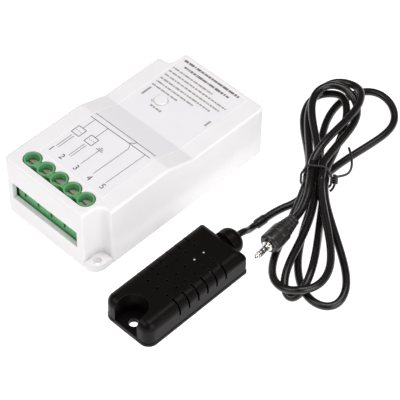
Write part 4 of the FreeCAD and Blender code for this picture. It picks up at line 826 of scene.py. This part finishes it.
def make_numbers():
    """Plain numbers 1 to 5, one for each terminal."""
    form = bmesh.new()
    for number, (x, y) in enumerate(TERMINAL_NUMBERS, 1):
        text = bpy.data.curves.new("number", "FONT")
        text.body = str(number)
        text.size = NUMBER_SIZE * MM
        text.align_x = "CENTER"
        text.align_y = "CENTER"
        text.extrude = PRINT_THICKNESS / 2 * MM
        source = bpy.data.objects.new("number", text)
        shape = bpy.data.meshes.new_from_object(source)
        lift = (PRINT_LIFT + PRINT_THICKNESS / 2) * MM
        shape.transform(Matrix.Translation((x * MM, y * MM, COVER_TOP(x * MM, y * MM) + lift)))
        form.from_mesh(shape)
        bpy.data.objects.remove(source)
    bmesh.ops.remove_doubles(form, verts=form.verts, dist=WELD)
    place(mesh_piece("terminal_numbers", form, smooth=False), INK, "white_plastic")


# Studio
FLOOR_HALF = 6.0
FLOOR_CELLS = 8
FLOOR_COLOURS = ((0.42, 0.42, 0.42), (0.44, 0.44, 0.44))
FLOOR_SPOTS, FLOOR_DETAIL = 3.0, 2.0
FLOOR_ROUGHNESS, FLOOR_SPECULAR = 0.9, 0.1
# The photograph's ground is pure white, without shadows
FLOOR_GLOW = 0.95
PURE_WHITE = (1, 1, 1, 1)
WORLD_STRENGTH = 0.13
# Softboxes: name, place, power, width, depth, tint
SOFTBOXES = [
    ("key", (-0.55, -1.25, 1.25), 13, 1.3, 0.9, (1.0, 0.985, 0.96)),
    ("top", (0.2, 0.2, 1.7), 19.2, 1.2, 1.2, (0.995, 0.985, 0.99)),
    ("right", (1.4, -0.1, 0.6), 13.2, 1.1, 0.8, (1, 1, 1)),
]


def make_floor():
    form = bmesh.new()
    bmesh.ops.create_grid(form, x_segments=FLOOR_CELLS, y_segments=FLOOR_CELLS, size=FLOOR_HALF)
    floor = mesh_piece("floor", form, smooth=False)
    material, tree = blank_material("floor")
    whole = add(tree, "TexCoord").outputs["Object"]
    spots = add(tree, "TexNoise", Vector=whole, Scale=FLOOR_SPOTS, Detail=FLOOR_DETAIL)
    colour = blend(tree, spots.outputs["Fac"], *FLOOR_COLOURS)
    shader = add(tree, "BsdfPrincipled", Base_Color=colour, Roughness=FLOOR_ROUGHNESS,
                 Specular_IOR_Level=FLOOR_SPECULAR, Emission_Color=PURE_WHITE,
                 Emission_Strength=FLOOR_GLOW)
    show(tree, shader)
    floor.data.materials.append(material)
    bpy.context.scene.collection.objects.link(floor)


def softbox(name, at, power, width, depth, tint):
    data = bpy.data.lights.new(name, "AREA")
    data.shape = "RECTANGLE"
    data.size = width
    data.size_y = depth
    data.energy = power
    data.color = tint
    lamp = bpy.data.objects.new(name, data)
    lamp.location = at
    lamp.rotation_euler = (CAMERA_TARGET - Vector(at)).to_track_quat("-Z", "Y").to_euler()
    bpy.context.scene.collection.objects.link(lamp)


def light_scene():
    world = bpy.data.worlds.new("studio")
    world.use_nodes = True
    sky = world.node_tree.nodes["Background"]
    sky.inputs["Color"].default_value = PURE_WHITE
    sky.inputs["Strength"].default_value = WORLD_STRENGTH
    bpy.context.scene.world = world
    bpy.context.scene.view_settings.view_transform = "Standard"
    for box in SOFTBOXES:
        softbox(*box)


make_camera()
cord = make_cord()
sleeve = make_sleeve()
plug = make_plug()
tie = make_tie()
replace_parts(cord, "sensor_lead", "cord_run", "cord_hank", "plug_lead")
dress_nodes()
make_sensor_tips()
make_label()
make_prints()
make_numbers()
make_floor()
light_scene()
